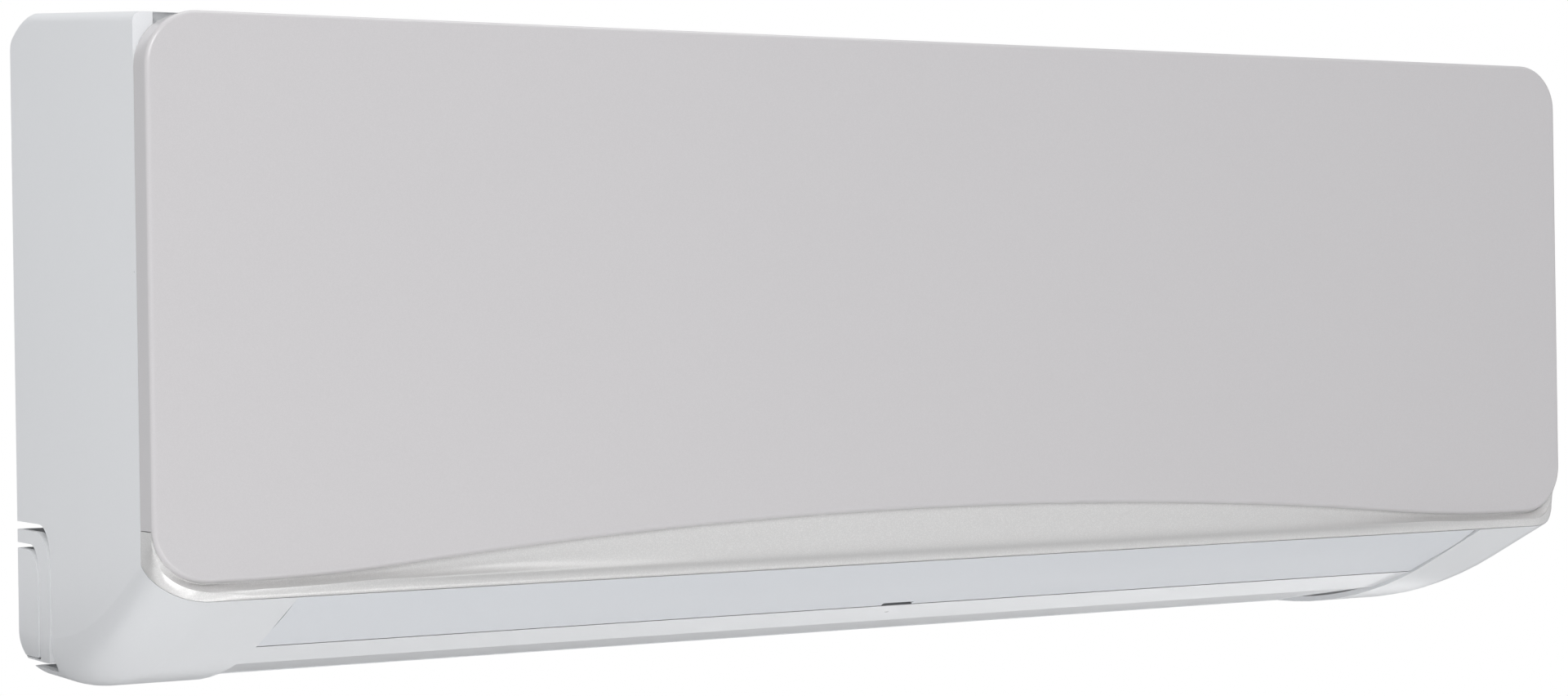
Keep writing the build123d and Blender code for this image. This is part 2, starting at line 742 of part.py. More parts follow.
# ---------------------------------------------------------------- flap bearing and drive
cheek_back = outlet_half + wall
duct_side_low = cheek_back + 0.2
duct_side_high = duct_side_low + duct_wall
with BuildPart() as bush:
    add(rod(*flap_axis, cheek_hole_radius - 0.25, -duct_side_high - 1.2, -outlet_half - 0.4))
    add(rod(*flap_axis, 6.0, -duct_side_high - 2.0, -duct_side_high - seat_gap))
    add(pivot_rod(*flap_axis, flap_pin_radius + running_gap, -duct_side_high - 3,
                  -outlet_half + 1), mode=Mode.SUBTRACT)
save(bush.part, "louver_bush")

louver_motor_radius = 12.0
louver_motor_offset = 8.0
drive_end = duct_side_high + 3.0
motor_centre = chin_point(flap_bottom - pivot_up,
                          flap_inset + pivot_inside + louver_motor_offset)
with BuildPart() as louver_motor:
    start = duct_side_high + seat_gap
    add(rod(*motor_centre, louver_motor_radius, start, start + 19.0))
    add(rod(*flap_axis, 4.5, start, start + 3.5))
    # mounting ears and the wire block
    ears = [(motor_centre[0] - 17.0, motor_centre[1] - 3.5),
            (motor_centre[0] - 17.0, motor_centre[1] + 3.5),
            (motor_centre[0] + 17.0, motor_centre[1] + 3.5),
            (motor_centre[0] + 17.0, motor_centre[1] - 3.5)]
    add(prism(ears, start, start + 1.2))
    for ear_y in (-14.5, 14.5):
        add(rod(motor_centre[0] + ear_y, motor_centre[1], 1.6, start - 1, start + 3),
            mode=Mode.SUBTRACT)
    add(block((start + 6, start + 17), (motor_centre[0] - 6, motor_centre[0] + 6),
              (motor_centre[1] + 8, motor_centre[1] + 14)))
    add(rod(*flap_axis, flap_pin_radius + running_gap, start - 1, drive_end + 0.3),
        mode=Mode.SUBTRACT)
save(louver_motor.part, "louver_motor")
with BuildPart() as drive_shaft:
    add(rod(*flap_axis, flap_pin_radius, flap_half - ear_width - 0.9, drive_end))
save(drive_shaft.part, "louver_drive_shaft")

# ---------------------------------------------------------------- rear chassis
hook_rise = top_z - 30.5
chassis_top_z = top_z - 19.5
channel_z = bottom_z + 67.5         # roof of the pipe channel at the wall
channel_front = (-46.0, channel_z - 2.0)
channel_roof = ((-chassis_depth, channel_z), channel_front)
scroll_top = (-62.5, fan_z + 44.2)
scroll_points = (
    scroll_top, (-43.0, fan_z + 26.0), (-35.0, fan_z), (-38.6, fan_z - 28.5),
    (-50.7, fan_z - 53.2), (-68.1, fan_z - 74.4), duct_floor_start,
)
scroll_bend = 18.0
trough_points = (
    scroll_top, (-61.0, fan_z + 60.0), (-26.0, fan_z + 54.0), (-16.0, fan_z + 66.0),
)
side_top_z = fan_z + 92.0
side_wall = [
    (-chassis_depth, channel_z), (-chassis_depth, side_top_z), (-75.0, side_top_z),
    (-128.7, fan_z + 60.0), (-128.7, bottom_z + 24.5), (-90.0, bottom_z + 27.5),
    (-60.0, bottom_z + 43.5), channel_front,
]
left_wall = (left_wall_x, left_wall_x + chassis_wall)
right_wall = (right_wall_x - chassis_wall, right_wall_x)
back_plate_half = half_width - 12.5
back_plate_z = (bottom_z + 81.5, top_z - 31.5)
bearing_radius = 11.0
motor_hole_radius = 20.0
cradle_spans = ((292.0, 295.0), (318.0, 321.0))

with BuildPart() as rear_chassis:
    hanger = [(-5.5, hook_rise), (-5.5, chassis_top_z), (-chassis_depth, chassis_top_z)]
    add(sheet(hanger + list(channel_roof), chassis_wall, left_wall_x, right_wall_x))
    add(sheet(trough_points, chassis_wall, left_wall_x, right_wall_x))
    with BuildSketch(Plane.YZ.offset(left_wall_x)):
        with BuildLine() as scroll:
            FilletPolyline(
                *scroll_points, (-duct_floor_end_depth, floor_z(duct_floor_end_depth)),
                radius=scroll_bend,
            )
        trace(scroll.edges(), line_width=chassis_wall)
    extrude(amount=right_wall_x - left_wall_x)
    for span in (left_wall, right_wall):
        add(prism(side_wall, *span))
    add(rod(-fan_depth, fan_z, bearing_radius + 0.05, left_wall[0] - 1, left_wall[1] + 1),
        mode=Mode.SUBTRACT)
    add(rod(-fan_depth, fan_z, motor_hole_radius, right_wall[0] - 1, right_wall[1] + 1),
        mode=Mode.SUBTRACT)
    # back plates either side, with a flange towards the wall
    for low_x, high_x in ((-back_plate_half, left_wall_x + 1), (right_wall_x - 1, back_plate_half)):
        add(block((low_x, high_x), (-chassis_depth - chassis_wall / 2,
                                    -chassis_depth + chassis_wall / 2), back_plate_z))
    for flange_x in (-back_plate_half, back_plate_half - chassis_wall):
        add(block((flange_x, flange_x + chassis_wall), (-chassis_depth, -3), back_plate_z))
    # cradle under the fan motor
    cradle = [(-chassis_depth, fan_z - 0.5), (-fan_depth - motor_radius - 3.5, fan_z - 0.5),
              (-fan_depth - motor_radius - 1, fan_z - 30), (-fan_depth, fan_z - 47),
              (-chassis_depth, fan_z - 42)]
    for span in cradle_spans:
        add(prism(cradle, *span))
    add(rod(-fan_depth, fan_z, motor_radius + seat_gap, right_wall[1] + 3, 330),
        mode=Mode.SUBTRACT)
    # blind holes for the casing screws
    for x in casing_screw_x:
        middle_z = floor_z(casing_screw_depth)
        add(peg(x, -casing_screw_depth, screw_radius + running_gap, middle_z - 3, middle_z + 3),
            mode=Mode.SUBTRACT)
save(rear_chassis.part, "rear_chassis")

with BuildPart() as screws:
    for x in casing_screw_x:
        head_z = floor_z(casing_screw_depth) + chassis_wall / 2 + seat_gap
        add(peg(x, -casing_screw_depth, screw_head_radius, head_z, head_z + screw_head))
        add(peg(x, -casing_screw_depth, screw_radius, head_z - 7.8, head_z))
        for slot_x, slot_y in ((1.8, 0.45), (0.45, 1.8)):
            add(block((x - slot_x, x + slot_x),
                      (-casing_screw_depth - slot_y, -casing_screw_depth + slot_y),
                      (head_z + screw_head - 0.9, head_z + 3)), mode=Mode.SUBTRACT)
save(screws.part, "casing_screws")

# ---------------------------------------------------------------- mounting plate
plate_half = 235.0
plate_thick = 1.2
plate_low_z = bottom_z + 36.5
plate_top_z = hook_rise - 5.0
clip_z = channel_z - 5.5
hole_spacing_x = 420.0
hole_spacing_z = 180.0
wall_hole_radius = 2.75
cut_out = (88.0, 56.0, 8.0)      # width, height and cut of its corners
cut_out_pitch_x = 120.0
cut_out_pitch_z = 90.0
hook_x = 170.0


def cut_corner_plate(width, height, cut):
    """A rectangle with its corners cut off."""
    with BuildSketch() as outline:
        Rectangle(width, height)
        chamfer(outline.vertices(), cut)
    return outline.sketch


with BuildPart() as mounting_plate:
    add(block((-plate_half, plate_half), (-plate_thick, 0), (plate_low_z, plate_top_z)))
    # stiffening cut-outs
    with BuildSketch(Plane.XZ.offset(-1)):
        with GridLocations(cut_out_pitch_x, cut_out_pitch_z, 3, 2):
            add(cut_corner_plate(*cut_out))
        with GridLocations(hole_spacing_x, hole_spacing_z, 2, 2):
            Circle(wall_hole_radius)
    extrude(amount=plate_thick + 2, mode=Mode.SUBTRACT)
    hook = [(-0.6, plate_top_z - 1), (-0.6, hook_rise - 0.9), (-7.65, hook_rise - 0.9),
            (-7.65, hook_rise + 7.0)]
    clip = [(-0.6, clip_z), (-20.0, clip_z + 1.1), (-30.0, clip_z + 2.3), (-37.0, clip_z - 0.5)]
    for x in (-hook_x, hook_x):
        add(sheet(hook, plate_thick, x - 20, x + 20))
        add(sheet(clip, plate_thick, x - 9, x + 9))
save(mounting_plate.part, "mounting_plate")

# ---------------------------------------------------------------- outlet duct and front pan
pan_front = 168.0
pan_floor_z = fan_z - 12.0
pan_rim_z = fan_z + 2.0
roof_bend = (-168.6, bottom_z + 55.5)
roof_front = (-175.5, bottom_z + 50.6)
roof_end = (-181.5, bottom_z + 46.3)
spout_y = -151.0
spout_z = pan_floor_z + 8.0
spout_radius = 7.0
spout_bore = 5.0
coil_foot_z = pan_floor_z + 8.0
duct_end_depth = 129.0      # where the duct's side walls meet the chassis
duct_end_low_z = bottom_z + 25.7
duct_end_high_z = fan_z - 15.0
stabiliser_z = (fan_z + 4.0, fan_z - 21.5)
coil_rib_x = (-270.0, -140.0, 0.0, 120.0, 230.0)
coil_rib = 3.0

with BuildPart() as outlet_duct:
    roof = [(-stabiliser_depth, z) for z in stabiliser_z] + [roof_bend, roof_front]
    add(sheet(roof, duct_wall, -duct_side_low - 0.5, duct_side_low + 0.5))
    add(sheet([between(roof_bend, roof_front, 0.8), roof_end], duct_wall,
              -outlet_half + seat_gap, outlet_half - seat_gap))
    pan = [(-stabiliser_depth, pan_floor_z), (-pan_front, pan_floor_z), (-pan_front, pan_rim_z)]
    add(sheet(pan, duct_wall, -duct_side_low - 0.5, duct_side_low + 0.5))
    add(sheet([(-pan_front, pan_floor_z), (-pan_front, roof_bend[1])], duct_wall,
              -duct_side_low - 0.5, duct_side_low + 0.5))
    duct_side = [
        (-duct_end_depth, duct_end_high_z), (-133.0, pan_rim_z), (-169.1, pan_rim_z),
        (-169.1, bottom_z + 56.3), (-181.5, bottom_z + 47.2), (-180.0, bottom_z + 42.5),
        (-141.0, bottom_z + 24.5), (-132.0, bottom_z + 24.5),
        (-duct_end_depth, duct_end_low_z),
    ]
    for low_x in (-duct_side_high, duct_side_low):
        add(prism(duct_side, low_x, low_x + duct_wall))
        add(rod(*flap_axis, cheek_hole_radius, low_x - 1, low_x + duct_wall + 1),
            mode=Mode.SUBTRACT)
    # panel that closes the duct between the fan wall and the motor end
    closing_x = (right_wall_x - 2.0, duct_side_low + 0.5)
    add(block(closing_x, (-duct_end_depth - duct_wall, -duct_end_depth),
              (duct_end_low_z, duct_end_high_z)))
    add(block(closing_x, (-stabiliser_depth, -duct_end_depth),
              (duct_end_high_z - duct_wall, duct_end_high_z)))
    # ribs that carry the coil
    for x in coil_rib_x:
        add(block((x - coil_rib / 2, x + coil_rib / 2), (-163.0, -143.0),
                  (pan_floor_z, coil_foot_z - seat_gap)))
    # drain spout at the left end
    add(rod(spout_y, spout_z, spout_radius, -duct_side_high - 9, -duct_side_low))
    add(rod(spout_y, spout_z, spout_bore, -duct_side_high - 10, -duct_side_low + 1),
        mode=Mode.SUBTRACT)
save(outlet_duct.part, "outlet_duct")

with BuildPart() as drain_plug:
    add(rod(spout_y, spout_z, spout_bore - 0.05, -duct_side_high - 9.1, -duct_side_high + 1))
    add(rod(spout_y, spout_z, spout_radius, -duct_side_high - 12, -duct_side_high - 9.1))
save(drain_plug.part, "drain_plug")

# ---------------------------------------------------------------- coil
front_slab = ((-153.0, coil_foot_z), (-153.0, coil_foot_z + 72.0))
upper_slab = ((-150.0, front_slab[1][1] + 9.0), (-78.0, front_slab[1][1] + 70.4))
rear_slab = ((-58.0, upper_slab[1][1] - 4.4), (-30.3, fan_z + 62.2))


def slab_corners(slab, thick, grow=0.0):
    """The (Y, Z) corners of a fin pack from its middle line."""
    (y1, z1), (y2, z2) = slab
    length = hypot(y2 - y1, z2 - z1)
    run = ((y2 - y1) / length, (z2 - z1) / length)
    half = thick / 2 + grow
    across = (-run[1] * half, run[0] * half)
    low = (y1 - run[0] * grow, z1 - run[1] * grow)
    high = (y2 + run[0] * grow, z2 + run[1] * grow)
    return [
        (low[0] + across[0], low[1] + across[1]), (high[0] + across[0], high[1] + across[1]),
        (high[0] - across[0], high[1] - across[1]), (low[0] - across[0], low[1] - across[1]),
    ]


for name, slab in (("front", front_slab), ("upper", upper_slab), ("rear", rear_slab)):
    save(prism(slab_corners(slab, coil_thick), coil_left, coil_right), f"{name}_fin_pack")

sheet_grow = 0.8
for name, low_x in (("left", coil_left - sheet_thick - 0.05), ("right", coil_right + 0.05)):
    with BuildPart() as tube_sheet:
        for slab in (front_slab, upper_slab, rear_slab):
            grow = sheet_grow if slab is upper_slab else 0.0
            add(prism(slab_corners(slab, coil_thick, grow), low_x, low_x + sheet_thick))
        # the links between the three slabs' plates
        knee_z, peak_z = front_slab[1][1], upper_slab[1][1]
        joint = [(-163.0, knee_z - 8.0), (-163.0, knee_z + 12.0), (-142.5, knee_z + 12.0),
                 (-142.5, knee_z - 8.0)]
        add(prism(joint, low_x, low_x + sheet_thick))
        peak = [(-85.0, peak_z - 8.4), (-85.0, peak_z + 1.6), (-50.0, peak_z - 0.4),
                (-50.0, peak_z - 10.4)]
        add(prism(peak, low_x, low_x + sheet_thick))
    save(tube_sheet.part, f"{name}_tube_sheet")

with BuildPart() as return_bends:
    bend_x = coil_left - sheet_thick - 0.1
    for slab, shares in ((front_slab, (0.26, 0.74)), (upper_slab, (0.18, 0.5, 0.82)),
                         (rear_slab, (0.24, 0.72))):
        (y1, z1), (y2, z2) = slab
        length = hypot(y2 - y1, z2 - z1)
        for share in shares:
            middle = between(slab[0], slab[1], share)
            reach_y = (y2 - y1) / length * bend_radius
            reach_z = (z2 - z1) / length * bend_radius
            with BuildLine() as path:
                Polyline((bend_x, middle[0] - reach_y, middle[1] - reach_z),
                         (bend_x - bend_radius * 0.5, middle[0] - reach_y, middle[1] - reach_z),
                         (bend_x - bend_radius, middle[0] - reach_y / 2, middle[1] - reach_z / 2),
                         (bend_x - bend_radius, middle[0] + reach_y / 2, middle[1] + reach_z / 2),
                         (bend_x - bend_radius * 0.5, middle[0] + reach_y, middle[1] + reach_z),
                         (bend_x, middle[0] + reach_y, middle[1] + reach_z))
            with BuildSketch(Plane(origin=path.line @ 0, z_dir=path.line % 0)):
                RegularPolygon(tube_radius, tube_sides)
            sweep(path=path.line, transition=Transition.RIGHT)
save(return_bends.part, "return_bends")

sensor_x = coil_right + sheet_thick + 0.3
sensor_place = between(*front_slab, 0.583)
sensor_radius = 2.6
with BuildPart() as sensor:
    add(rod(*sensor_place, sensor_radius, sensor_x, sensor_x + 16))
    add(rod(*sensor_place, sensor_radius + 1.0, sensor_x, sensor_x + 4))
save(sensor.part, "temperature_sensor")

# ---------------------------------------------------------------- cross-flow fan
fan_length = fan_right - fan_left


def blade_face(turn):
    """One leaning fan blade in side view, turned about the fan's axis."""
    lean = 0.2
    thick = blade_thick / fan_radius
    corners = ((blade_root, turn), (fan_radius, turn + lean),
               (fan_radius, turn + lean + thick), (blade_root, turn + thick))
    return [(-fan_depth + r * cos(a), fan_z + r * sin(a)) for r, a in corners]


with BuildPart() as fan:
    with BuildSketch(Plane.YZ.offset(fan_left)):
        for number in range(fan_blades):
            with BuildLine():
                Polyline(blade_face(2 * pi * number / fan_blades), close=True)
            make_face()
    extrude(amount=fan_length)
    for station in range(fan_sections + 1):
        low_x = fan_left + (fan_length - disc_thick) * station / fan_sections
        add(rod(-fan_depth, fan_z, fan_radius, low_x, low_x + disc_thick))
        if 0 < station < fan_sections:
            add(rod(-fan_depth, fan_z, blade_root - 3.0, low_x - 1, low_x + disc_thick + 1),
                mode=Mode.SUBTRACT)
    add(rod(-fan_depth, fan_z, hub_radius, fan_right - 22.0, fan_right))
    add(pivot_rod(-fan_depth, fan_z, motor_shaft_radius, fan_right - 20.0, fan_right + 1),
        mode=Mode.SUBTRACT)
save(fan.part, "cross_flow_fan")

with BuildPart() as stub:
    add(rod(-fan_depth, fan_z, 9.0, fan_left - 2.0, fan_left))
    add(pivot_rod(-fan_depth, fan_z, stub_radius, fan_left - 10.0, fan_left))
save(stub.part, "fan_stub_shaft")
with BuildPart() as bearing:
    add(rod(-fan_depth, fan_z, bearing_radius, left_wall[0] - 0.5, left_wall[1] + 0.6))
    add(pivot_rod(-fan_depth, fan_z, stub_radius + running_gap, left_wall[0] - 1,
                  left_wall[1] + 1), mode=Mode.SUBTRACT)
save(bearing.part, "fan_bearing")
with BuildPart() as fan_motor:
    add(rod(-fan_depth, fan_z, motor_radius, motor_left, motor_left + motor_length))
    ends = fan_motor.edges().group_by(Axis.X)
    chamfer(ends[0] + ends[-1], 3.0)
    add(rod(-fan_depth, fan_z, 12.0, motor_left - 2.5, motor_left))
    add(pivot_rod(-fan_depth, fan_z, motor_shaft_radius + running_gap, motor_left - 4,
                  motor_left + 12), mode=Mode.SUBTRACT)
save(fan_motor.part, "fan_motor")
with BuildPart() as motor_shaft:
    add(pivot_rod(-fan_depth, fan_z, motor_shaft_radius, fan_right - 20.0, motor_left + 11))
save(motor_shaft.part, "fan_motor_shaft")
with BuildPart() as motor_cover:
    shell = motor_radius + seat_gap
    low_x = cradle_spans[0][0] - 1
    high_x = cradle_spans[1][1] + 1
    add(rod(-fan_depth, fan_z, shell + 2.2, low_x, high_x))
    foot = shell + 3.4
    add(block((low_x, high_x), (-fan_depth - foot, -fan_depth + foot),
              (fan_z - 0.2, fan_z + 2.2)))
    add(rod(-fan_depth, fan_z, shell, low_x - 1, high_x + 1), mode=Mode.SUBTRACT)
    add(block((low_x - 1, high_x + 1), (-fan_depth - 60, -fan_depth + 60),
              (fan_z - 60, fan_z - 0.2)), mode=Mode.SUBTRACT)
save(motor_cover.part, "motor_cover")

# ---------------------------------------------------------------- vanes
vane_low_z = bottom_z + 31.9
vane_back = 107.0               # depth of the vanes' back edge
strip_top_z = vane_low_z - seat_gap
link_low_z = vane_low_z + 17.6
link_high_z = link_low_z + 2.4
slot_z = (link_low_z - 2.0, link_high_z + 1.6)      # the link's slot in each vane
vane_front = link_depth + 4.0
slot_back = link_depth - 6.0
vane_outline = [
    (-vane_back, vane_low_z), (-129.0, vane_low_z), (-134.0, vane_low_z + 9.1),
    (-vane_front, vane_low_z + 11.6), (-vane_front, slot_z[0]), (-slot_back, slot_z[0]),
    (-slot_back, slot_z[1]), (-vane_front, slot_z[1]), (-vane_front, slot_z[1] + 4.0),
    (-122.0, vane_low_z + 33.6), (-vane_back, vane_low_z + 25.6),
]
strip_depths = (106.0, 117.0)
strip_outline = (
    [(-depth, floor_z(depth) + floor_top) for depth in strip_depths]
    + [(-depth, strip_top_z) for depth in reversed(strip_depths)]
)
for side, hand in ((-1, "left"), (1, "right")):
    places = [side * (vane_first + vane_pitch * n) for n in range(vanes_per_side)]
    low_x, high_x = min(places), max(places)
    with BuildPart() as strip:
        add(prism(strip_outline, low_x - 10, high_x + 10))
        for x in places:
            add(pivot_peg(x, -vane_pivot_depth, vane_pin_radius + running_gap,
                          strip_top_z - 8, strip_top_z + 2), mode=Mode.SUBTRACT)
    save(strip.part, f"{hand}_vane_strip")
    with BuildPart() as link:
        add(block((low_x - 5, high_x + 5), (-link_depth - 3.5, -link_depth + 3.5),
                  (link_low_z, link_high_z)))
        for x in places:
            add(pivot_peg(x, -link_depth, link_peg_radius + running_gap, *slot_z),
                mode=Mode.SUBTRACT)
    save(link.part, f"{hand}_link_bar")
    for number, x in enumerate(places, start=1):
        with BuildPart() as vane:
            add(prism(vane_outline, x - vane_thick / 2, x + vane_thick / 2))
            add(pivot_peg(x, -vane_pivot_depth, vane_pin_radius, vane_low_z - 4.1,
                          vane_low_z + 0.3))
            add(pivot_peg(x, -link_depth, link_peg_radius, slot_z[0] - 0.2,
                          link_high_z + 0.4))
        save(vane.part, f"{hand}_vane_{number}")

# ---------------------------------------------------------------- filters
filter_thick = 2.0
mesh_thick = 0.5
filter_bend = 28.0
filter_back_depth = 62.0
filter_low_z = pan_rim_z + seat_gap
filter_front = -casing_front + wall + seat_gap
filter_columns = 4
bar_width = 5.0
tab_half = 18.0


def filter_path(inside):
    """Bent (Y, Z) line down the front and along the top, a distance inside the casing."""
    front = filter_front + inside
    drop = (wall + seat_gap + inside) / cos(atan2(top_slope, 1))
    corner = (front, panel_top_z(-front) - drop)
    back = (-filter_back_depth, panel_top_z(filter_back_depth) - drop)
    return [(front, filter_low_z), corner, back]


def bent_sheet(points, bend, thick, x_start, x_end):
    """A sheet along X that follows a (Y, Z) polyline with rounded corners."""
    with BuildPart() as bar:
        with BuildSketch(Plane.YZ.offset(x_start)):
            with BuildLine() as path:
                FilletPolyline(*points, radius=bend)
            trace(path.edges(), line_width=thick)
        extrude(amount=x_end - x_start)
    return bar.part


filter_spans = (("left", -345.0, window_bar_x - 0.5), ("right", window_bar_x + 0.5, 266.0))
for hand, low_x, high_x in filter_spans:
    width = high_x - low_x
    middle_x = (low_x + high_x) / 2
    cell = (width - 12.0) / filter_columns
    with BuildPart() as frame:
        add(bent_sheet(filter_path(filter_thick / 2), filter_bend, filter_thick, low_x, high_x))
        with BuildSketch(Plane.XZ.offset(casing_front)):
            with Locations((middle_x, filter_low_z + 61.7)):
                with GridLocations(cell, 52.0, filter_columns, 2):
                    Rectangle(cell - bar_width, 52.0 - bar_width)
        extrude(amount=-15, mode=Mode.SUBTRACT)
        with BuildSketch(Plane.XY.offset(top_z - 30)):
            with Locations((middle_x, -101.0)):
                with GridLocations(cell, cell, filter_columns, 1):
                    Rectangle(cell - bar_width, 62.0)
        extrude(amount=30, mode=Mode.SUBTRACT)
        # pull tab
        add(block((middle_x - tab_half, middle_x + tab_half),
                  (filter_front, filter_front + filter_thick),
                  (filter_low_z, filter_low_z + 6)))
    save(frame.part, f"{hand}_filter_frame")
    inside = filter_thick + 0.05 + mesh_thick / 2
    net = bent_sheet(filter_path(inside), filter_bend - 1.3, mesh_thick, low_x + 4, high_x - 4)
    save(net, f"{hand}_filter_mesh")

# ---------------------------------------------------------------- electrics
box_x = (right_wall_x + seat_gap, 348.0)
box_y = (-164.0, -62.0)
box_z = (16.0, 110.0)
box_wall = 2.0
board_y = -72.0

with BuildPart() as control_box:
    add(block(box_x, box_y, box_z))
    add(block((box_x[0] + box_wall, box_x[1] - box_wall), (box_y[0] - 1, box_y[1] - box_wall),
              (box_z[0] + box_wall, box_z[1] - box_wall)), mode=Mode.SUBTRACT)
    for x in (box_x[0] + 12, box_x[1] - 12):
        for z in (box_z[0] + 12, box_z[1] - 12):
            add(block((x - 3, x + 3), (board_y + 0.9, box_y[1]), (z - 3, z + 3)))
    # cable opening in the floor
    add(block((box_x[0] + 30, box_x[0] + 50), (-110, -95), (box_z[0] - 1, box_z[0] + 3)),
        mode=Mode.SUBTRACT)
save(control_box.part, "control_box")
with BuildPart() as box_cover:
    add(block(box_x, (box_y[0] - 2.3, box_y[0] - seat_gap), box_z))
    add(block((box_x[0] + 14, box_x[0] + 40), (box_y[0] - 3, box_y[0]), (30, 48)),
        mode=Mode.SUBTRACT)
save(box_cover.part, "control_box_cover")
with BuildPart() as board:
    add(block((box_x[0] + 5, box_x[1] - 5), (board_y - 0.8, board_y + 0.8),
              (box_z[0] + 5, box_z[1] - 5)))
    # main parts: transformer, capacitor, relay, plugs
    add(block((box_x[0] + 12, box_x[0] + 36), (board_y - 22, board_y), (62, 90)))
    add(block((box_x[0] + 44, box_x[0] + 62), (board_y - 16, board_y), (66, 80)))
    add(block((box_x[0] + 16, box_x[0] + 60), (board_y - 9, board_y), (30, 37)))
    add(stud(box_x[0] + 54, 52, 7.0, board_y - 22, board_y))
save(board.part, "circuit_board")
with BuildPart() as terminals:
    floor_of_box = box_z[0] + box_wall + seat_gap
    add(block((296, 340), (-150, -128), (floor_of_box, floor_of_box + 9)))
    for number in range(5):
        x = 300.0 + 8.0 * number
        add(block((x - 0.8, x + 0.8), (-150, -128), (floor_of_box + 9, floor_of_box + 15)))
        if number < 4:
            add(peg(x + 4, -139, 2.6, floor_of_box + 8, floor_of_box + 10.5))
save(terminals.part, "terminal_block")

display_y = (-182.0, -casing_front - seat_gap)
display_x = (262.0, 322.0)
display_z = (-70.0, -57.0)
button_x = 272.0
button_z = -63.5
button_radius = 3.0
button_reach = 1.6
with BuildPart() as display:
    add(block(display_x, display_y, display_z))
    for x in (290.0, 298.0, 306.0, 314.0):
        add(stud(x, button_z, 1.5, display_y[0] - 0.8, display_y[0] + 1))
    add(stud(button_x, button_z, button_radius + running_gap,
             display_y[0] - 1, display_y[0] + 7.5), mode=Mode.SUBTRACT)
save(display.part, "display_module")
with BuildPart() as button:
    add(stud(button_x, button_z, button_radius,
             display_y[0] - button_reach, display_y[0] + 5.6))
save(button.part, "manual_button")

# ---------------------------------------------------------------- pipes
gas_radius = 4.76
liquid_radius = 3.2
gas_run = (-31.5, -104.0)
liquid_run = (-14.5, -114.0)
wrap_centre = (-23.5, -109.0)
wrap_radius = 17.0
wrap_span = (-120.0, 200.0)
pipe_start_x = coil_right + sheet_thick + 0.3
gas_end_x = -150.0
liquid_end_x = -172.0


def pipe(points, bend, radius):
    """A pipe along a 3-D polyline whose corners are bent in three short steps."""
    corners = [Vector(*point) for point in points]
    route = [corners[0]]
    for before, corner, after in zip(corners, corners[1:], corners[2:]):
        start = corner + (before - corner).normalized() * bend
        end = corner + (after - corner).normalized() * bend
        route += [start, (start * 4 + corner * 4 + end) / 9, (start + corner * 4 + end * 4) / 9, end]
    route.append(corners[-1])
    with BuildPart() as tube:
        with BuildLine() as path:
            Polyline(*route)
        with BuildSketch(Plane(origin=path.line @ 0, z_dir=path.line % 0)):
            RegularPolygon(radius, tube_sides)
        sweep(path=path.line, transition=Transition.RIGHT)
    return tube.part


gas = pipe([(pipe_start_x, -40, 74), (285, -40, 74), (285, *gas_run),
            (gas_end_x, *gas_run)], 14.0, gas_radius)
save(gas, "gas_pipe")
liquid = pipe([(pipe_start_x, -50, 88), (302, -50, 88), (302, -23, 62),
               (302, -23, -80), (302, *liquid_run), (liquid_end_x, *liquid_run)], 11.0, liquid_radius)
save(liquid, "liquid_pipe")
with BuildPart() as nuts:
    for run, high_x, flats, bore in ((gas_run, gas_end_x + 22, 22.0, gas_radius),
                                     (liquid_run, liquid_end_x + 17, 17.0, liquid_radius)):
        with BuildSketch(Plane.YZ.offset(high_x - 18)):
            with Locations(run):
                RegularPolygon(flats / 2, 6, major_radius=False)
                Circle(bore + 0.05, mode=Mode.SUBTRACT)
        extrude(amount=18)
save(nuts.part, "flare_nuts")
with BuildPart() as wrap:
    add(rod(*wrap_centre, wrap_radius, *wrap_span))
    for run, radius in ((gas_run, gas_radius), (liquid_run, liquid_radius)):
        add(rod(*run, radius + 0.1, wrap_span[0] - 1, wrap_span[1] + 1), mode=Mode.SUBTRACT)
save(wrap.part, "pipe_insulation")
with BuildPart() as clamp:
    strap = wrap_radius + 1.1
    with BuildSketch(Plane.YZ.offset(60)):
        with BuildLine() as path:
            left_y = wrap_centre[0] - strap
            right_y = wrap_centre[0] + strap
            Polyline((left_y, -77.8), (left_y, wrap_centre[1]))
            ThreePointArc((left_y, wrap_centre[1]), (wrap_centre[0], wrap_centre[1] - strap),
                          (right_y, wrap_centre[1]))
        trace(path.edges(), line_width=1.5)
    extrude(amount=18)
    add(block((60, 78), (left_y, left_y + 14), (-78.8, -77.4)))
save(clamp.part, "pipe_clamp")
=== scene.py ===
"""Looks of a wall-hung indoor air conditioner unit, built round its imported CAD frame."""

import json
from math import atan2, cos, pi, radians, sin, sqrt, tan

import bmesh
import bpy
from mathutils import Matrix, Vector


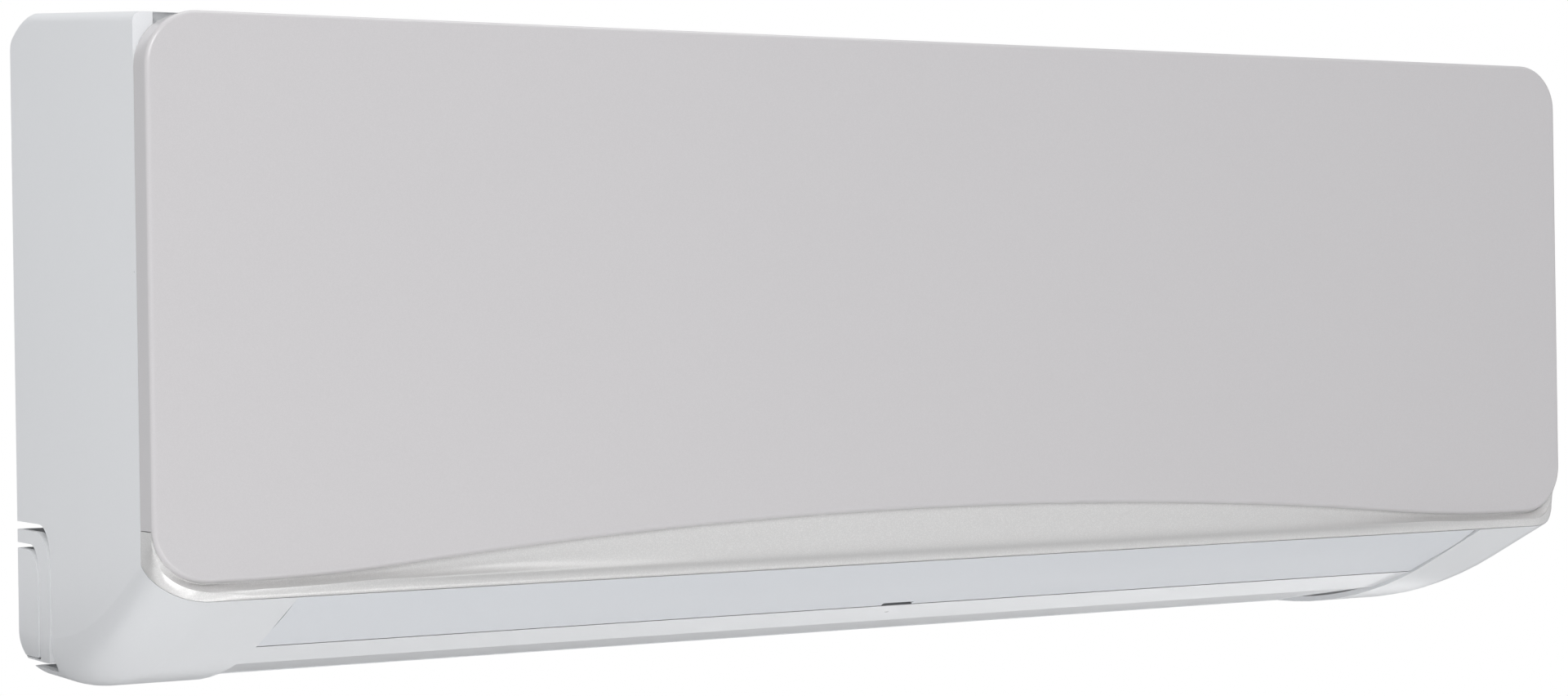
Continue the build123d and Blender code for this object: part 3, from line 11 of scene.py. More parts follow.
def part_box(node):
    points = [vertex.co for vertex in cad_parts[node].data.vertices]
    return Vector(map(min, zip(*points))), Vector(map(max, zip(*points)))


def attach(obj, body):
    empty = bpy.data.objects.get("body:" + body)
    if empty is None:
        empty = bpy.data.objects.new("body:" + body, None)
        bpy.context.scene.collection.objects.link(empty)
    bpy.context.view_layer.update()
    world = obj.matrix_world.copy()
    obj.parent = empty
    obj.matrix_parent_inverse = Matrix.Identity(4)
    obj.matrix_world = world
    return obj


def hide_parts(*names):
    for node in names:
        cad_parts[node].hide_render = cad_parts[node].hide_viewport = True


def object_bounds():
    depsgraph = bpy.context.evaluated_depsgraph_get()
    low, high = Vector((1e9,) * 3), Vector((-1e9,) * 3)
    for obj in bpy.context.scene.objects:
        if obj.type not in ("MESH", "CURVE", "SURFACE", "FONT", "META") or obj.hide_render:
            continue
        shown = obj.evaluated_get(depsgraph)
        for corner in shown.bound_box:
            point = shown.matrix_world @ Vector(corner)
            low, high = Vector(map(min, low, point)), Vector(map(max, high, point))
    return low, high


bl_info = {
    "name": "Indoor air unit looks",
    "version": (1, 0, 0),
    "blender": (4, 5, 0),
    "location": "3D View > Sidebar > Air unit",
    "description": "Dresses a wall-hung indoor air conditioner unit with fine pieces and finishes",
    "category": "Add Mesh",
}

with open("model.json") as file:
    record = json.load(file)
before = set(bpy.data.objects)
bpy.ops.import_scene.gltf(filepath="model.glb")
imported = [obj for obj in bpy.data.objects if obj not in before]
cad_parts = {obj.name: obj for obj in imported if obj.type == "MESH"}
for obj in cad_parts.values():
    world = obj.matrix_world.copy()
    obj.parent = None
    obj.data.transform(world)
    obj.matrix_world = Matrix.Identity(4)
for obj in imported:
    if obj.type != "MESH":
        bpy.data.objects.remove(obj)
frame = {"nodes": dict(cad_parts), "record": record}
CAD_BOX = [list(corner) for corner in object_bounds()]
MM = 0.001
RECORD = frame["record"]

# The unit's front as the frame's part has it, in millimetres: widths from the middle, heights over
# the frame's origin, depths forward from the wall.
BOTTOM_Z = CAD_BOX[0][2] / MM
PANEL_LOW, PANEL_HIGH = [[v / MM for v in corner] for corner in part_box("front_panel")]
HALF_WIDTH = PANEL_HIGH[0]
PANEL_FACE = -PANEL_LOW[1]
PANEL_TOP_Z = PANEL_HIGH[2]
RIM_BACK = PANEL_FACE - 14.7
RIM_END_Z = BOTTOM_Z + 71.5             # the panel's rim stops here, above the trim
WAVE_CREST_Z = BOTTOM_Z + 66.8
WAVE_LOW_Z = BOTTOM_Z + 51.0
WAVE_RUN = 322.0
WAVE_BEND_X = 255.0                     # where the wave turns from its crest to its tail
LIP_REACH = 5.5                         # how far the trim's lip stands out past the panel
NOSE_DEPTH = PANEL_FACE + LIP_REACH - 1.2
NOSE_Z = BOTTOM_Z + 44.2
SEAM_TOP_Z = BOTTOM_Z + 58.0
SEAM_RISE = 0.3                         # gap between the casing's seam face and what lies on it
CASING_FRONT = RIM_BACK - 0.3
CHIN_SLOPE = radians(25.7)
SEAM_ANGLE = atan2(SEAM_TOP_Z - NOSE_Z, NOSE_DEPTH - CASING_FRONT)

# The panel's hinge: pins on two arms, held by hooks on the casing.
HOOK_NEAR, HOOK_FAR = 319.4, 327.0      # the hooks lie between these widths
HINGE_Y = 1.6 - CASING_FRONT
HINGE_Z = PANEL_TOP_Z - 3.1
ARM_X = HALF_WIDTH - 29.0
PIN_RADIUS = 1.75

# The trim's section, in millimetres.
CORNER_STEPS, LONG_STEPS = 20, 100      # stations round a corner and from there to the middle
LEDGE_STEPS, ROLL_STEPS, FOOT_STEPS = 10, 6, 4
PANEL_GAP = 0.5                         # from the trim's ledge to the panel's edge
LEAST_FACE = 1.0                        # with less room than this only a thin rim is left
LIP_RUN = 97.5                          # the lip reaches its full depth this far from the ends
SIDE_START, SIDE_RUN = 318.0, 22.0      # where the rolled lip turns into the plain side band
CREASE = 4.9                            # from the outer edge to the crease over the lip

# The flap: distances down the cheeks' slope from the nose, and thicknesses, in millimetres.
FLAP_HALF = 300.7
FLAP_TOP = 2.7
FLAP_BOTTOM = 55.2
FLAP_EDGE_REACH = 0.55                  # the skin's outer edge runs on to the lip
FLAP_INSET = 1.3
FLAP_SKIN = 2.2
FLAP_BULGE = 0.9
FLAP_RIBS = (14.0, 30.0)
NOTCH_HALF = 8.0
EAR_WIDTH = 3.5

# The stage: lights as name, place, aim and size in metres, and power in watts.
LIGHTS = (
    ("key_light", (-1.6, -2.2, 1.3), (-0.1, -0.1, 0), (1.6, 1.2), 34.0),
    ("low_light", (-0.3, -1.5, -0.75), (0, -0.15, -0.1), (1.8, 0.5), 38.0),
    ("back_light", (0.1, 0.70, -0.64), (0, -0.12, -0.13), (2.0, 0.35), 7.5),
    ("top_light", (0, 0.1, 1.9), (0, -0.1, 0), (2.2, 1.2), 14.0),
)
SKY_SEEN, SKY_LIGHT = 1.0, 0.53
# The black card that stands in for shade in the underside's reflection: its place in metres and its
# scale.
CARD_PLACE, CARD_HALF = (0, 0.45, -0.275), (1.6, 0.125, 1, 1)
CAMERA_PLACE, CAMERA_LENS = (-0.7210, -1.3047, -0.0025), 70.09
CAMERA_YAW, CAMERA_PITCH, CAMERA_ROLL = radians(29.75), radians(-0.08), radians(-0.876)


# ------------------------------------------------------------------ sizes and colours
def length(name, description, default):
    """A length property in metres that is given in millimetres."""
    return bpy.props.FloatProperty(
        name=name, description=description, default=default * MM, min=0.0, unit="LENGTH"
    )


def tint(name, description, default):
    """A colour property in linear light."""
    return bpy.props.FloatVectorProperty(
        name=name, description=description, default=default, size=3, min=0.0, max=1.0,
        subtype="COLOR",
    )


def share(name, description, default):
    """A number from 0 to 1."""
    return bpy.props.FloatProperty(
        name=name, description=description, default=default, min=0.0, max=1.0,
        subtype="FACTOR",
    )


class AirUnitSizes(bpy.types.PropertyGroup):
    """Sizes of the fine pieces."""

    panel_edge: length("Panel edge", "Round on the front panel's outer edge", 2.0)
    panel_skin: length("Panel skin", "Thickness of the front panel's face", 2.4)
    panel_rim: length("Panel rim", "Thickness of the front panel's rim", 2.2)
    panel_top_round: length("Panel top corners", "Radius of the upper corners", 21.0)
    panel_low_round: length("Panel lower corners", "Radius of the lower corners", 22.0)
    trim_skin: length("Trim skin", "Thickness of the silver trim", 2.0)
    casing_side: length("Casing sides", "Round between the casing's sides and cheeks", 21.0)
    flap_edge: length("Flap edge", "Round on the flap's edges", 0.5)
    floor_drop: length("Floor drop", "How far the floor lies under the unit", 420.0)
    floor_size: length("Floor size", "Side of the square floor", 4400.0)


class AirUnitColours(bpy.types.PropertyGroup):
    """Colours and gloss of the finishes."""

    casing: tint("Casing", "White casing plastic", (0.815, 0.825, 0.838))
    panel: tint("Panel", "Pale lilac-grey panel", (0.590, 0.574, 0.582))
    trim: tint("Trim", "Satin silver trim", (0.800, 0.792, 0.782))
    flap: tint("Flap", "White flap", (0.770, 0.790, 0.820))
    floor: tint("Floor", "Pale floor", (0.880, 0.880, 0.880))
    panel_gloss: share("Panel gloss", "Roughness of the panel's face", 0.30)
    casing_gloss: share("Casing gloss", "Roughness of the casing", 0.30)
    trim_gloss: share("Trim gloss", "Roughness of the silver trim", 0.34)


def sizes():
    """The scene's sizes, in metres."""
    return bpy.context.scene.air_unit_sizes


def colours():
    """The scene's colours and gloss values."""
    return bpy.context.scene.air_unit_colours


# ------------------------------------------------------------------ shader maths
class Wire:
    """A socket whose sums, differences, products, quotients, remainders and less-than tests become
    Math nodes.
    """

    def __init__(self, finish, socket):
        self.finish = finish
        self.socket = socket

    def _math(self, operation, first, second):
        return self.finish.node(
            "ShaderNodeMath", {"operation": operation}, {0: first, 1: second}
        )

    def __add__(self, other):
        return self._math("ADD", self, other)

    __radd__ = __add__

    def __mul__(self, other):
        return self._math("MULTIPLY", self, other)

    __rmul__ = __mul__

    def __sub__(self, other):
        return self._math("SUBTRACT", self, other)

    def __rsub__(self, other):
        return self._math("SUBTRACT", other, self)

    def __truediv__(self, other):
        return self._math("DIVIDE", self, other)

    def __mod__(self, other):
        return self._math("FLOORED_MODULO", self, other)

    def __lt__(self, other):
        return self._math("LESS_THAN", self, other)


class Finish:
    """A material in the making: its nodes all come from node()."""

    def __init__(self, name, roughness=0.5, metallic=0.0, **constants):
        self.material = bpy.data.materials.new(name)
        self.material.use_nodes = True
        self.tree = self.material.node_tree
        self.shader = next(n for n in self.tree.nodes if n.type == "BSDF_PRINCIPLED")
        self.shader.inputs["Roughness"].default_value = roughness
        self.shader.inputs["Metallic"].default_value = metallic
        for socket, value in constants.items():
            self.shader.inputs[socket.replace("_", " ")].default_value = value

    def node(self, kind, settings=None, sockets=None, output=0):
        """A new node: its type, its settings, what its sockets hold, and the output to use."""
        node = self.tree.nodes.new(kind)
        for name, value in (settings or {}).items():
            setattr(node, name, value)
        for name, value in (sockets or {}).items():
            if isinstance(value, Wire):
                self.tree.links.new(value.socket, node.inputs[name])
            else:
                node.inputs[name].default_value = value
        return Wire(self, node.outputs[output])

    def place(self, stretch=None):
        """Object coordinates, which here are the unit's own frame in metres."""
        where = self.node("ShaderNodeTexCoord", output="Object")
        if stretch:
            where = self.node("ShaderNodeMapping", sockets={"Vector": where, "Scale": stretch})
        return where

    def axes(self):
        """The object coordinates' three parts."""
        split = self.node("ShaderNodeSeparateXYZ", sockets={0: self.place()})
        outputs = split.socket.node.outputs
        return [Wire(self, outputs[index]) for index in range(3)]

    def noise(self, scale, detail=2.0, stretch=None):
        """Noise from 0 to 1 whose grains are 1/scale metres wide."""
        sockets = {"Vector": self.place(stretch), "Scale": scale, "Detail": detail}
        return self.node("ShaderNodeTexNoise", sockets=sockets)

    def cells(self, scale, output="Distance", stretch=None):
        """Cells 1/scale metres wide: the distance from each one's middle, or its own colour."""
        sockets = {"Vector": self.place(stretch), "Scale": scale}
        return self.node("ShaderNodeTexVoronoi", sockets=sockets, output=output)

    def levels(self, scale, stretch=None):
        """Cells 1/scale metres wide, each with one level from 0 to 1."""
        cell = self.cells(scale, "Color", stretch)
        return self.node("ShaderNodeSeparateColor", sockets={0: cell})

    def blend(self, amount, first, second):
        """One colour over another by an amount from 0 to 1."""
        return self.node("ShaderNodeMix", {"data_type": "RGBA"},
                         {0: amount, 6: colour4(first), 7: colour4(second)}, output=2)

    def ramp(self, value, low, high):
        """A value spread from low to high over 0 to 1, held at the ends."""
        return self.node("ShaderNodeMapRange", {"clamp": True},
                         {"Value": value, "From Min": low, "From Max": high})

    def feed(self, socket, wire):
        """Links a wire to one of the shader's sockets."""
        self.tree.links.new(wire.socket, self.shader.inputs[socket])

    def bump(self, height, depth, strength=1.0):
        """Relief of a depth in metres where the height goes from 0 to 1."""
        sockets = {"Height": height, "Distance": depth, "Strength": strength}
        self.feed("Normal", self.node("ShaderNodeBump", sockets=sockets))


def colour4(value):
    """A wire as it is, or a colour with its alpha."""
    if isinstance(value, Wire) or len(value) == 4:
        return value
    return (*value, 1.0)


def shade(colour, factor):
    """A colour made darker or lighter."""
    return tuple(min(1.0, part * factor) for part in colour)


# ------------------------------------------------------------------ finishes
def moulded(name, colour, roughness, grain, depth):
    """Moulded plastic: a fine grain, slow drift of tone and slightly uneven gloss."""
    finish = Finish(name, roughness)
    drift, speck = finish.noise(7.0, 3.0), finish.noise(2600.0, 1.0)
    tone = finish.blend(drift, shade(colour, 0.96), shade(colour, 1.04))
    fine = finish.blend(finish.ramp(speck, 0.35, 0.65), shade(colour, 0.975), shade(colour, 1.02))
    finish.feed("Base Color", finish.blend(0.5, tone, fine))
    finish.feed("Roughness", finish.noise(60.0, 3.0) * 0.10 + (roughness - 0.05))
    finish.bump(finish.noise(grain), depth, 0.5)
    return finish.material


def panel_paint():
    """Glossy lilac-grey panel: a clear coat over a faint pearl fleck."""
    colour, gloss = tuple(colours().panel), colours().panel_gloss
    finish = Finish("panel_paint", gloss, Coat_Roughness=0.12, Coat_Weight=0.35)
    fleck = finish.ramp(finish.noise(3200.0, 0.0), 0.42, 0.62)
    base = finish.blend(fleck, shade(colour, 0.97), shade(colour, 1.03))
    slow = finish.blend(finish.noise(5.0), shade(colour, 0.985), shade(colour, 1.015))
    finish.feed("Base Color", finish.blend(0.5, base, slow))
    finish.feed("Roughness", finish.noise(90.0, 3.0) * 0.06 + (gloss - 0.03))
    finish.bump(finish.noise(240.0), 0.00003, 0.25)
    return finish.material


def silver_paint():
    """Satin silver paint with fine bright flakes, and the soft shadow in the crease."""
    colour, gloss = tuple(colours().trim), colours().trim_gloss
    finish = Finish("silver_paint", gloss, 0.35)
    level = finish.levels(3600.0)
    paint = finish.blend(finish.ramp(level, 0.55, 1.0), shade(colour, 0.93), shade(colour, 1.06))
    x, _, z = finish.axes()
    # Painted shade: the base colour darkens in a soft band along the crease over the lip and fades
    # out towards the ends. It sits on top of the real shading of the modelled crease.
    crease_z, spread, fade_from, fade_to = (NOSE_Z + 4.3) * MM, 1.7 * MM, 0.225, 0.320
    off = (z - crease_z) / spread
    fade = 1.0 - finish.ramp(x * x, fade_from ** 2, fade_to ** 2)
    band = fade / (off * off + 1.0)
    finish.feed("Base Color", finish.blend(band * 0.55, paint, shade(colour, 0.55)))
    finish.feed("Roughness", level * 0.12 + (gloss - 0.06))
    finish.bump(level, 0.00002, 0.15)
    return finish.material


def sheet_zinc():
    """Zinc-coated sheet with soft spangles."""
    finish = Finish("sheet_zinc", 0.42, 0.9)
    level = finish.levels(110.0)
    finish.feed("Base Color", finish.blend(level, (0.50, 0.52, 0.54), (0.68, 0.70, 0.72)))
    finish.feed("Roughness", level * 0.18 + 0.30)
    finish.bump(finish.noise(700.0), 0.00002, 0.4)
    return finish.material


def metal(name, colour, roughness, stretch, scale=900.0):
    """Drawn or turned metal with fine lines one way."""
    finish = Finish(name, roughness, 1.0)
    lines = finish.noise(scale, 3.0, stretch)
    patch = finish.noise(35.0, 3.0)
    base = finish.blend(patch, shade(colour, 0.82), shade(colour, 1.1))
    fine = finish.blend(lines, shade(colour, 0.9), shade(colour, 1.08))
    finish.feed("Base Color", finish.blend(0.5, base, fine))
    finish.feed("Roughness", lines * 0.16 + patch * 0.12 + (roughness - 0.14))
    finish.bump(lines, 0.00002, 0.5)
    return finish.material


def fin_stack():
    """Thin aluminium fins set 1.4 mm apart along the coil, seen edge on, with painted shade in the
    gaps between them.
    """
    finish = Finish("fin_stack", 0.38, 0.85)
    pitch = 0.0014
    along = (finish.axes()[0] % pitch) / pitch
    edge = finish.ramp(along, 0.30, 0.42) * (1.0 - finish.ramp(along, 0.62, 0.74))
    wavy = finish.noise(120.0)
    # Painted shade: the gaps between the fins are coloured near black, where shade falls between
    # them.
    dark = finish.blend(wavy, (0.05, 0.055, 0.06), (0.10, 0.105, 0.11))
    light = finish.blend(wavy, (0.66, 0.69, 0.72), (0.82, 0.84, 0.86))
    finish.feed("Base Color", finish.blend(edge, dark, light))
    finish.feed("Metallic", edge * 0.85)
    finish.bump(edge, 0.0006, 1.0)
    return finish.material


def woven_net():
    """Fine filter net: crossed threads with open holes between."""
    finish = Finish("woven_net", 0.6)
    x, y, z = finish.axes()
    pitch = 0.0012
    down = z - y
    warp = ((x % pitch) / pitch) < 0.34
    weft = ((down % pitch) / pitch) < 0.34
    thread = finish.node("ShaderNodeMath", {"operation": "MAXIMUM"}, {0: warp, 1: weft})
    tone = finish.noise(300.0)
    finish.feed("Base Color", finish.blend(tone, (0.10, 0.11, 0.12), (0.16, 0.17, 0.18)))
    finish.feed("Alpha", thread)
    finish.bump(warp * 0.5 + weft * 0.5, 0.0002, 0.6)
    return finish.material


def printed_board():
    """Green circuit board with paler tracks, and the parts that stand on it."""
    finish = Finish("printed_board", 0.35)
    level = finish.levels(150.0, (1.0, 1.0, 0.25))
    track = finish.ramp(level, 0.55, 0.62)
    green = finish.blend(finish.noise(50.0), (0.02, 0.16, 0.07), (0.03, 0.21, 0.09))
    tracks = finish.blend(track, green, (0.06, 0.30, 0.14))
    face_depth, slack = 0.0735, 0.0005
    parts = finish.ramp(finish.axes()[1] * -1.0, face_depth, face_depth + slack)
    body = finish.blend(level, (0.03, 0.03, 0.035), (0.55, 0.42, 0.16))
    finish.feed("Base Color", finish.blend(parts, tracks, body))
    finish.bump(track, 0.00008, 0.5)
    return finish.material


def closed_foam():
    """Black closed-cell pipe foam."""
    finish = Finish("closed_foam", 0.88)
    cell = finish.cells(900.0)
    finish.feed("Base Color", finish.blend(cell, (0.010, 0.010, 0.011), (0.040, 0.040, 0.042)))
    finish.bump(cell, 0.0004, 0.7)
    return finish.material


def floor_paint():
    """Pale matt floor."""
    finish = Finish("floor_paint", 0.85)
    colour = tuple(colours().floor)
    finish.feed("Base Color", finish.blend(finish.noise(6.0), shade(colour, 0.99), colour))
    return finish.material


def finishes():
    """The finish for each of the record's material slots."""
    look = colours()
    casing = tuple(look.casing)
    return {
        "casing": moulded("casing_plastic", casing, look.casing_gloss, 900.0, 0.00003),
        "panel": panel_paint(),
        "trim": silver_paint(),
        "flap": moulded("flap_plastic", tuple(look.flap), 0.36, 900.0, 0.00002),
        "inner_plastic": moulded("inner_plastic", (0.075, 0.080, 0.088), 0.55, 700.0, 0.00005),
        "white_plastic": moulded("white_plastic", (0.60, 0.61, 0.63), 0.5, 800.0, 0.00004),
        "dark_plastic": moulded("dark_plastic", (0.012, 0.012, 0.014), 0.45, 800.0, 0.00004),
        "fan": moulded("fan_plastic", (0.020, 0.022, 0.026), 0.48, 900.0, 0.00004),
        "fins": fin_stack(),
        "steel": metal("turned_steel", (0.55, 0.56, 0.57), 0.32, (0.2, 3.0, 3.0)),
        "zinc": sheet_zinc(),
        "copper": metal("copper_tube", (0.66, 0.30, 0.17), 0.34, (0.1, 2.0, 2.0), 300.0),
        "brass": metal("turned_brass", (0.62, 0.44, 0.18), 0.30, (3.0, 0.5, 0.5)),
        "foam": closed_foam(),
        "rubber": moulded("soft_rubber", (0.018, 0.018, 0.019), 0.75, 500.0, 0.00008),
        "filter_mesh": woven_net(),
        "board": printed_board(),
    }


def dress(piece, material):
    """Gives a piece one material."""
    piece.data.materials.clear()
    piece.data.materials.append(material)


# ------------------------------------------------------------------ mesh helpers
def flat_face(shape, points):
    """One face with its corners in millimetres."""
    return shape.faces.new([shape.verts.new(Vector(point) * MM) for point in points])


def pull(shape, face, shift):
    """Extrudes a face by a shift in millimetres and returns the moved face."""
    whole = [face, *face.edges, *face.verts]
    grown = bmesh.ops.extrude_face_region(shape, geom=whole)
    dots = [g for g in grown["geom"] if isinstance(g, bmesh.types.BMVert)]
    bmesh.ops.translate(shape, vec=Vector(shift) * MM, verts=dots)
    return next(g for g in grown["geom"] if isinstance(g, bmesh.types.BMFace))


def soften(shape, geometry, radius, segments, affect="EDGES"):
    """Rounds edges, or the corners of a flat face, to a radius in metres."""
    bmesh.ops.bevel(shape, geom=geometry, offset=radius, offset_type="OFFSET", segments=segments,
                    profile=0.5, affect=affect, material=-1, clamp_overlap=affect == "EDGES")


def oblong(low_y, low_z, high_y, high_z):
    """The (Y, Z) outline of a bar with four square corners."""
    return [(low_y, low_z), (high_y, low_z), (high_y, high_z), (low_y, high_z)]


def prism(shape, outline, low_x, high_x):
    """A bar along X with a (Y, Z) outline, all in millimetres."""
    face = flat_face(shape, [(low_x, y, z) for y, z in outline])
    pull(shape, face, (high_x - low_x, 0, 0))


def pin(shape, y, z, radius, low_x, high_x):
    """A round pin along X, in millimetres."""
    place = Matrix.Translation(Vector(((low_x + high_x) / 2, y, z)) * MM)
    bmesh.ops.create_cone(shape, cap_ends=True, segments=32, radius1=radius * MM,
                          radius2=radius * MM, depth=(high_x - low_x) * MM,
                          matrix=place @ Matrix.Rotation(pi / 2, 4, "Y"))


def finished(shape, name):
    """Turns a bmesh into an object at the origin with its faces pointing outwards."""
    bmesh.ops.recalc_face_normals(shape, faces=shape.faces[:])
    data = bpy.data.meshes.new(name)
    shape.to_mesh(data)
    shape.free()
    piece = bpy.data.objects.new(name, data)
    bpy.context.scene.collection.objects.link(piece)
    return piece


def apply_all(piece):
    """Replaces a piece's mesh by what its modifiers make of it."""
    bpy.context.view_layer.update()
    shown = piece.evaluated_get(bpy.context.evaluated_depsgraph_get())
    data = bpy.data.meshes.new_from_object(shown)
    piece.modifiers.clear()
    old = piece.data
    piece.data = data
    bpy.data.meshes.remove(old)


def carve(piece, tool, operation="DIFFERENCE"):
    """Cuts away or adds a second piece, which then goes."""
    change = piece.modifiers.new("carve", "BOOLEAN")
    change.operation = operation
    change.solver = "EXACT"
    change.object = tool
    apply_all(piece)
    data = tool.data
    bpy.data.objects.remove(tool)
    bpy.data.meshes.remove(data)


def join(piece, shape):
    """Adds closed shapes to a piece's mesh as they are."""
    bmesh.ops.recalc_face_normals(shape, faces=shape.faces[:])
    extra = bpy.data.meshes.new("extra")
    shape.to_mesh(extra)
    shape.free()
    whole = bmesh.new()
    for data in (piece.data, extra):
        whole.from_mesh(data)
    whole.to_mesh(piece.data)
    whole.free()
    bpy.data.meshes.remove(extra)


def smooth(piece, angle=28.0):
    """Smooth shading that keeps edges sharper than an angle, with flat faces kept flat."""
    data = piece.data
    data.polygons.foreach_set("use_smooth", [True] * len(data.polygons))
    data.set_sharp_from_angle(angle=radians(angle))
    weighted = piece.modifiers.new("even_normals", "WEIGHTED_NORMAL")
    weighted.keep_sharp = True
    weighted.weight = 50


def settle(piece, material, body, node):
    """Dresses a finished piece and puts it on its body in place of one of the frame's nodes."""
    dress(piece, bpy.data.materials[material])
    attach(piece, body)
    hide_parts(node)


# ------------------------------------------------------------------ shared outlines
def wave_z(x):
    """Height of the panel's wavy lower edge: a wide crest that runs out in two tails."""
    turn = 2 * atan2(WAVE_CREST_Z - WAVE_LOW_Z, WAVE_RUN)
    crest = WAVE_BEND_X / sin(turn)
    tail = (WAVE_RUN - WAVE_BEND_X) / sin(turn)
    if abs(x) < WAVE_BEND_X:
        return WAVE_CREST_Z - crest + sqrt(crest ** 2 - x ** 2)
    rest = max(WAVE_RUN - abs(x), 0.0)
    return WAVE_LOW_Z + tail - sqrt(tail ** 2 - rest ** 2)


def chin_point(along, inside=0.0):
    """A (Y, Z) point on the cheeks' slope, a distance from the nose and inside the skin."""
    y = -NOSE_DEPTH + along * cos(CHIN_SLOPE) + inside * sin(CHIN_SLOPE)
    z = NOSE_Z - along * sin(CHIN_SLOPE) + inside * cos(CHIN_SLOPE)
    return (y, z)


def above_seam(depth):
    """A (Y, Z) point just above the casing's sloping seam face."""
    rise = (NOSE_DEPTH - depth) * tan(SEAM_ANGLE) + SEAM_RISE / cos(SEAM_ANGLE)
    return (-depth, NOSE_Z + rise)


# The line of the flap's pins, as (Y, Z).
FLAP_AXIS = chin_point(FLAP_BOTTOM - 4.0, FLAP_INSET + 8.0)


# ------------------------------------------------------------------ front panel
def panel_face(shape):
    """The panel's front outline as one face, with rounded corners and the wave."""
    size = sizes()
    corners = [(-HALF_WIDTH, WAVE_LOW_Z), (HALF_WIDTH, WAVE_LOW_Z),
               (HALF_WIDTH, PANEL_TOP_Z), (-HALF_WIDTH, PANEL_TOP_Z)]
    flat_face(shape, [(x, -PANEL_FACE, z) for x, z in corners])
    dots = list(shape.verts)
    soften(shape, dots[:2], size.panel_low_round, 14, "VERTICES")
    soften(shape, [v for v in dots[2:] if v.is_valid], size.panel_top_round, 14, "VERTICES")
    edge = max((e for e in shape.edges if e.verts[0].co.z < 0 and e.verts[1].co.z < 0),
               key=lambda e: e.calc_length())
    bmesh.ops.subdivide_edges(shape, edges=[edge], cuts=180)
    for dot in shape.verts:
        if dot.co.z < (WAVE_LOW_Z + 0.01) * MM and abs(dot.co.x) < WAVE_RUN * MM:
            dot.co.z = wave_z(dot.co.x / MM) * MM
    face = next(iter(shape.faces))
    bmesh.ops.recalc_face_normals(shape, faces=[face])
    return face


def panel_piece():
    """The panel as a thin tray: flat face, rounded edge, rim, hinge arms and pins."""
    size = sizes()
    skin = size.panel_skin / MM
    shape = bmesh.new()
    pull(shape, panel_face(shape), (0, PANEL_FACE - RIM_BACK, 0))
    front = [e for e in shape.edges
             if all(abs(v.co.y + PANEL_FACE * MM) < 1e-6 for v in e.verts)]
    soften(shape, front, size.panel_edge, 6)
    back = max(shape.faces, key=lambda f: (round(f.calc_center_median().y, 5), f.calc_area()))
    bmesh.ops.inset_region(shape, faces=[back], thickness=size.panel_rim, use_even_offset=True)
    pull(shape, back, (0, skin + RIM_BACK - PANEL_FACE, 0))
    piece = finished(shape, "front_panel_tray")
    below_rim, room_for_hooks, arms = bmesh.new(), bmesh.new(), bmesh.new()
    prism(below_rim, oblong(skin - PANEL_FACE, BOTTOM_Z, 5 - RIM_BACK, RIM_END_Z),
          -HALF_WIDTH - 5, HALF_WIDTH + 5)
    room = oblong(-RIM_BACK - 2.3, PANEL_TOP_Z - 6, -RIM_BACK + 2, PANEL_TOP_Z - 0.6)
    arm = [(1 - PANEL_FACE, HINGE_Z - 14), (1 - PANEL_FACE, HINGE_Z + 2.4),
           (HINGE_Y, HINGE_Z + 2.8), (HINGE_Y + 2.6, HINGE_Z), (HINGE_Y, HINGE_Z - 2.8),
           (HINGE_Y - 6, HINGE_Z - 4)]
    for side in (-1, 1):
        prism(room_for_hooks, room, *sorted((side * HOOK_NEAR, side * HOOK_FAR)))
        prism(arms, arm, side * ARM_X - 1.5, side * ARM_X + 1.5)
        pin(arms, HINGE_Y, HINGE_Z, PIN_RADIUS, *sorted((side * (ARM_X - 1), side * (ARM_X - 8.5))))
    carve(piece, finished(below_rim, "below_rim"))
    carve(piece, finished(room_for_hooks, "room_for_hooks"))
    carve(piece, finished(arms, "hinge_arms"), "UNION")
    smooth(piece)
    return piece


# ------------------------------------------------------------------ silver trim
def seam_corner(turn):
    """Where the casing's rounded side meets its seam face, 0 at the side and pi / 2 below."""
    round_size = sizes().casing_side / MM
    inward = round_size * (1 - sin(turn)) / (sin(CHIN_SLOPE) + tan(SEAM_ANGLE) * cos(CHIN_SLOPE))
    depth = NOSE_DEPTH - inward
    return (HALF_WIDTH - round_size * (1 - cos(turn)), *above_seam(depth))


def trim_stations():
    """Stations of the trim's outer edge from the left rim's end to the right one's.

    Each has a place, a direction in the front view that points in from the edge, and the
    distance from there to the panel's edge."""
    half = [((HALF_WIDTH, -CASING_FRONT - 0.3, RIM_END_Z - drop), (-1.0, 0.0))
            for drop in (0.3, 5.0, 9.0)]
    for step in range(CORNER_STEPS + 1):
        turn = pi / 2 * step / CORNER_STEPS
        half.append((seam_corner(turn), (-cos(turn), sin(turn))))
    start = HALF_WIDTH - sizes().casing_side / MM
    for step in range(1, LONG_STEPS + 1):
        x = start * (1 - step / LONG_STEPS)
        half.append(((x, *above_seam(NOSE_DEPTH)), (0.0, 1.0)))
    right = [(place, inward, panel_distance(place, inward)) for place, inward in half]
    left = [((-x, y, z), (-across, up), far) for (x, y, z), (across, up), far in right]
    return left + right[-2::-1]


def panel_distance(place, inward):
    """Distance in the front view from a place on the right half to the panel's lower edge."""
    corner = sizes().panel_low_round / MM
    centre = (HALF_WIDTH - corner, WAVE_LOW_Z + corner)
    x, z = place[0] - centre[0], place[2] - centre[1]
    if inward[0] == 0.0 and place[0] < centre[0]:
        return wave_z(place[0]) - place[2]
    if z > 0.0:
        return HALF_WIDTH - abs(place[0])
    along = x * inward[0] + z * inward[1]
    return -along - sqrt(max(along ** 2 - (x ** 2 + z ** 2 - corner ** 2), 0.0))


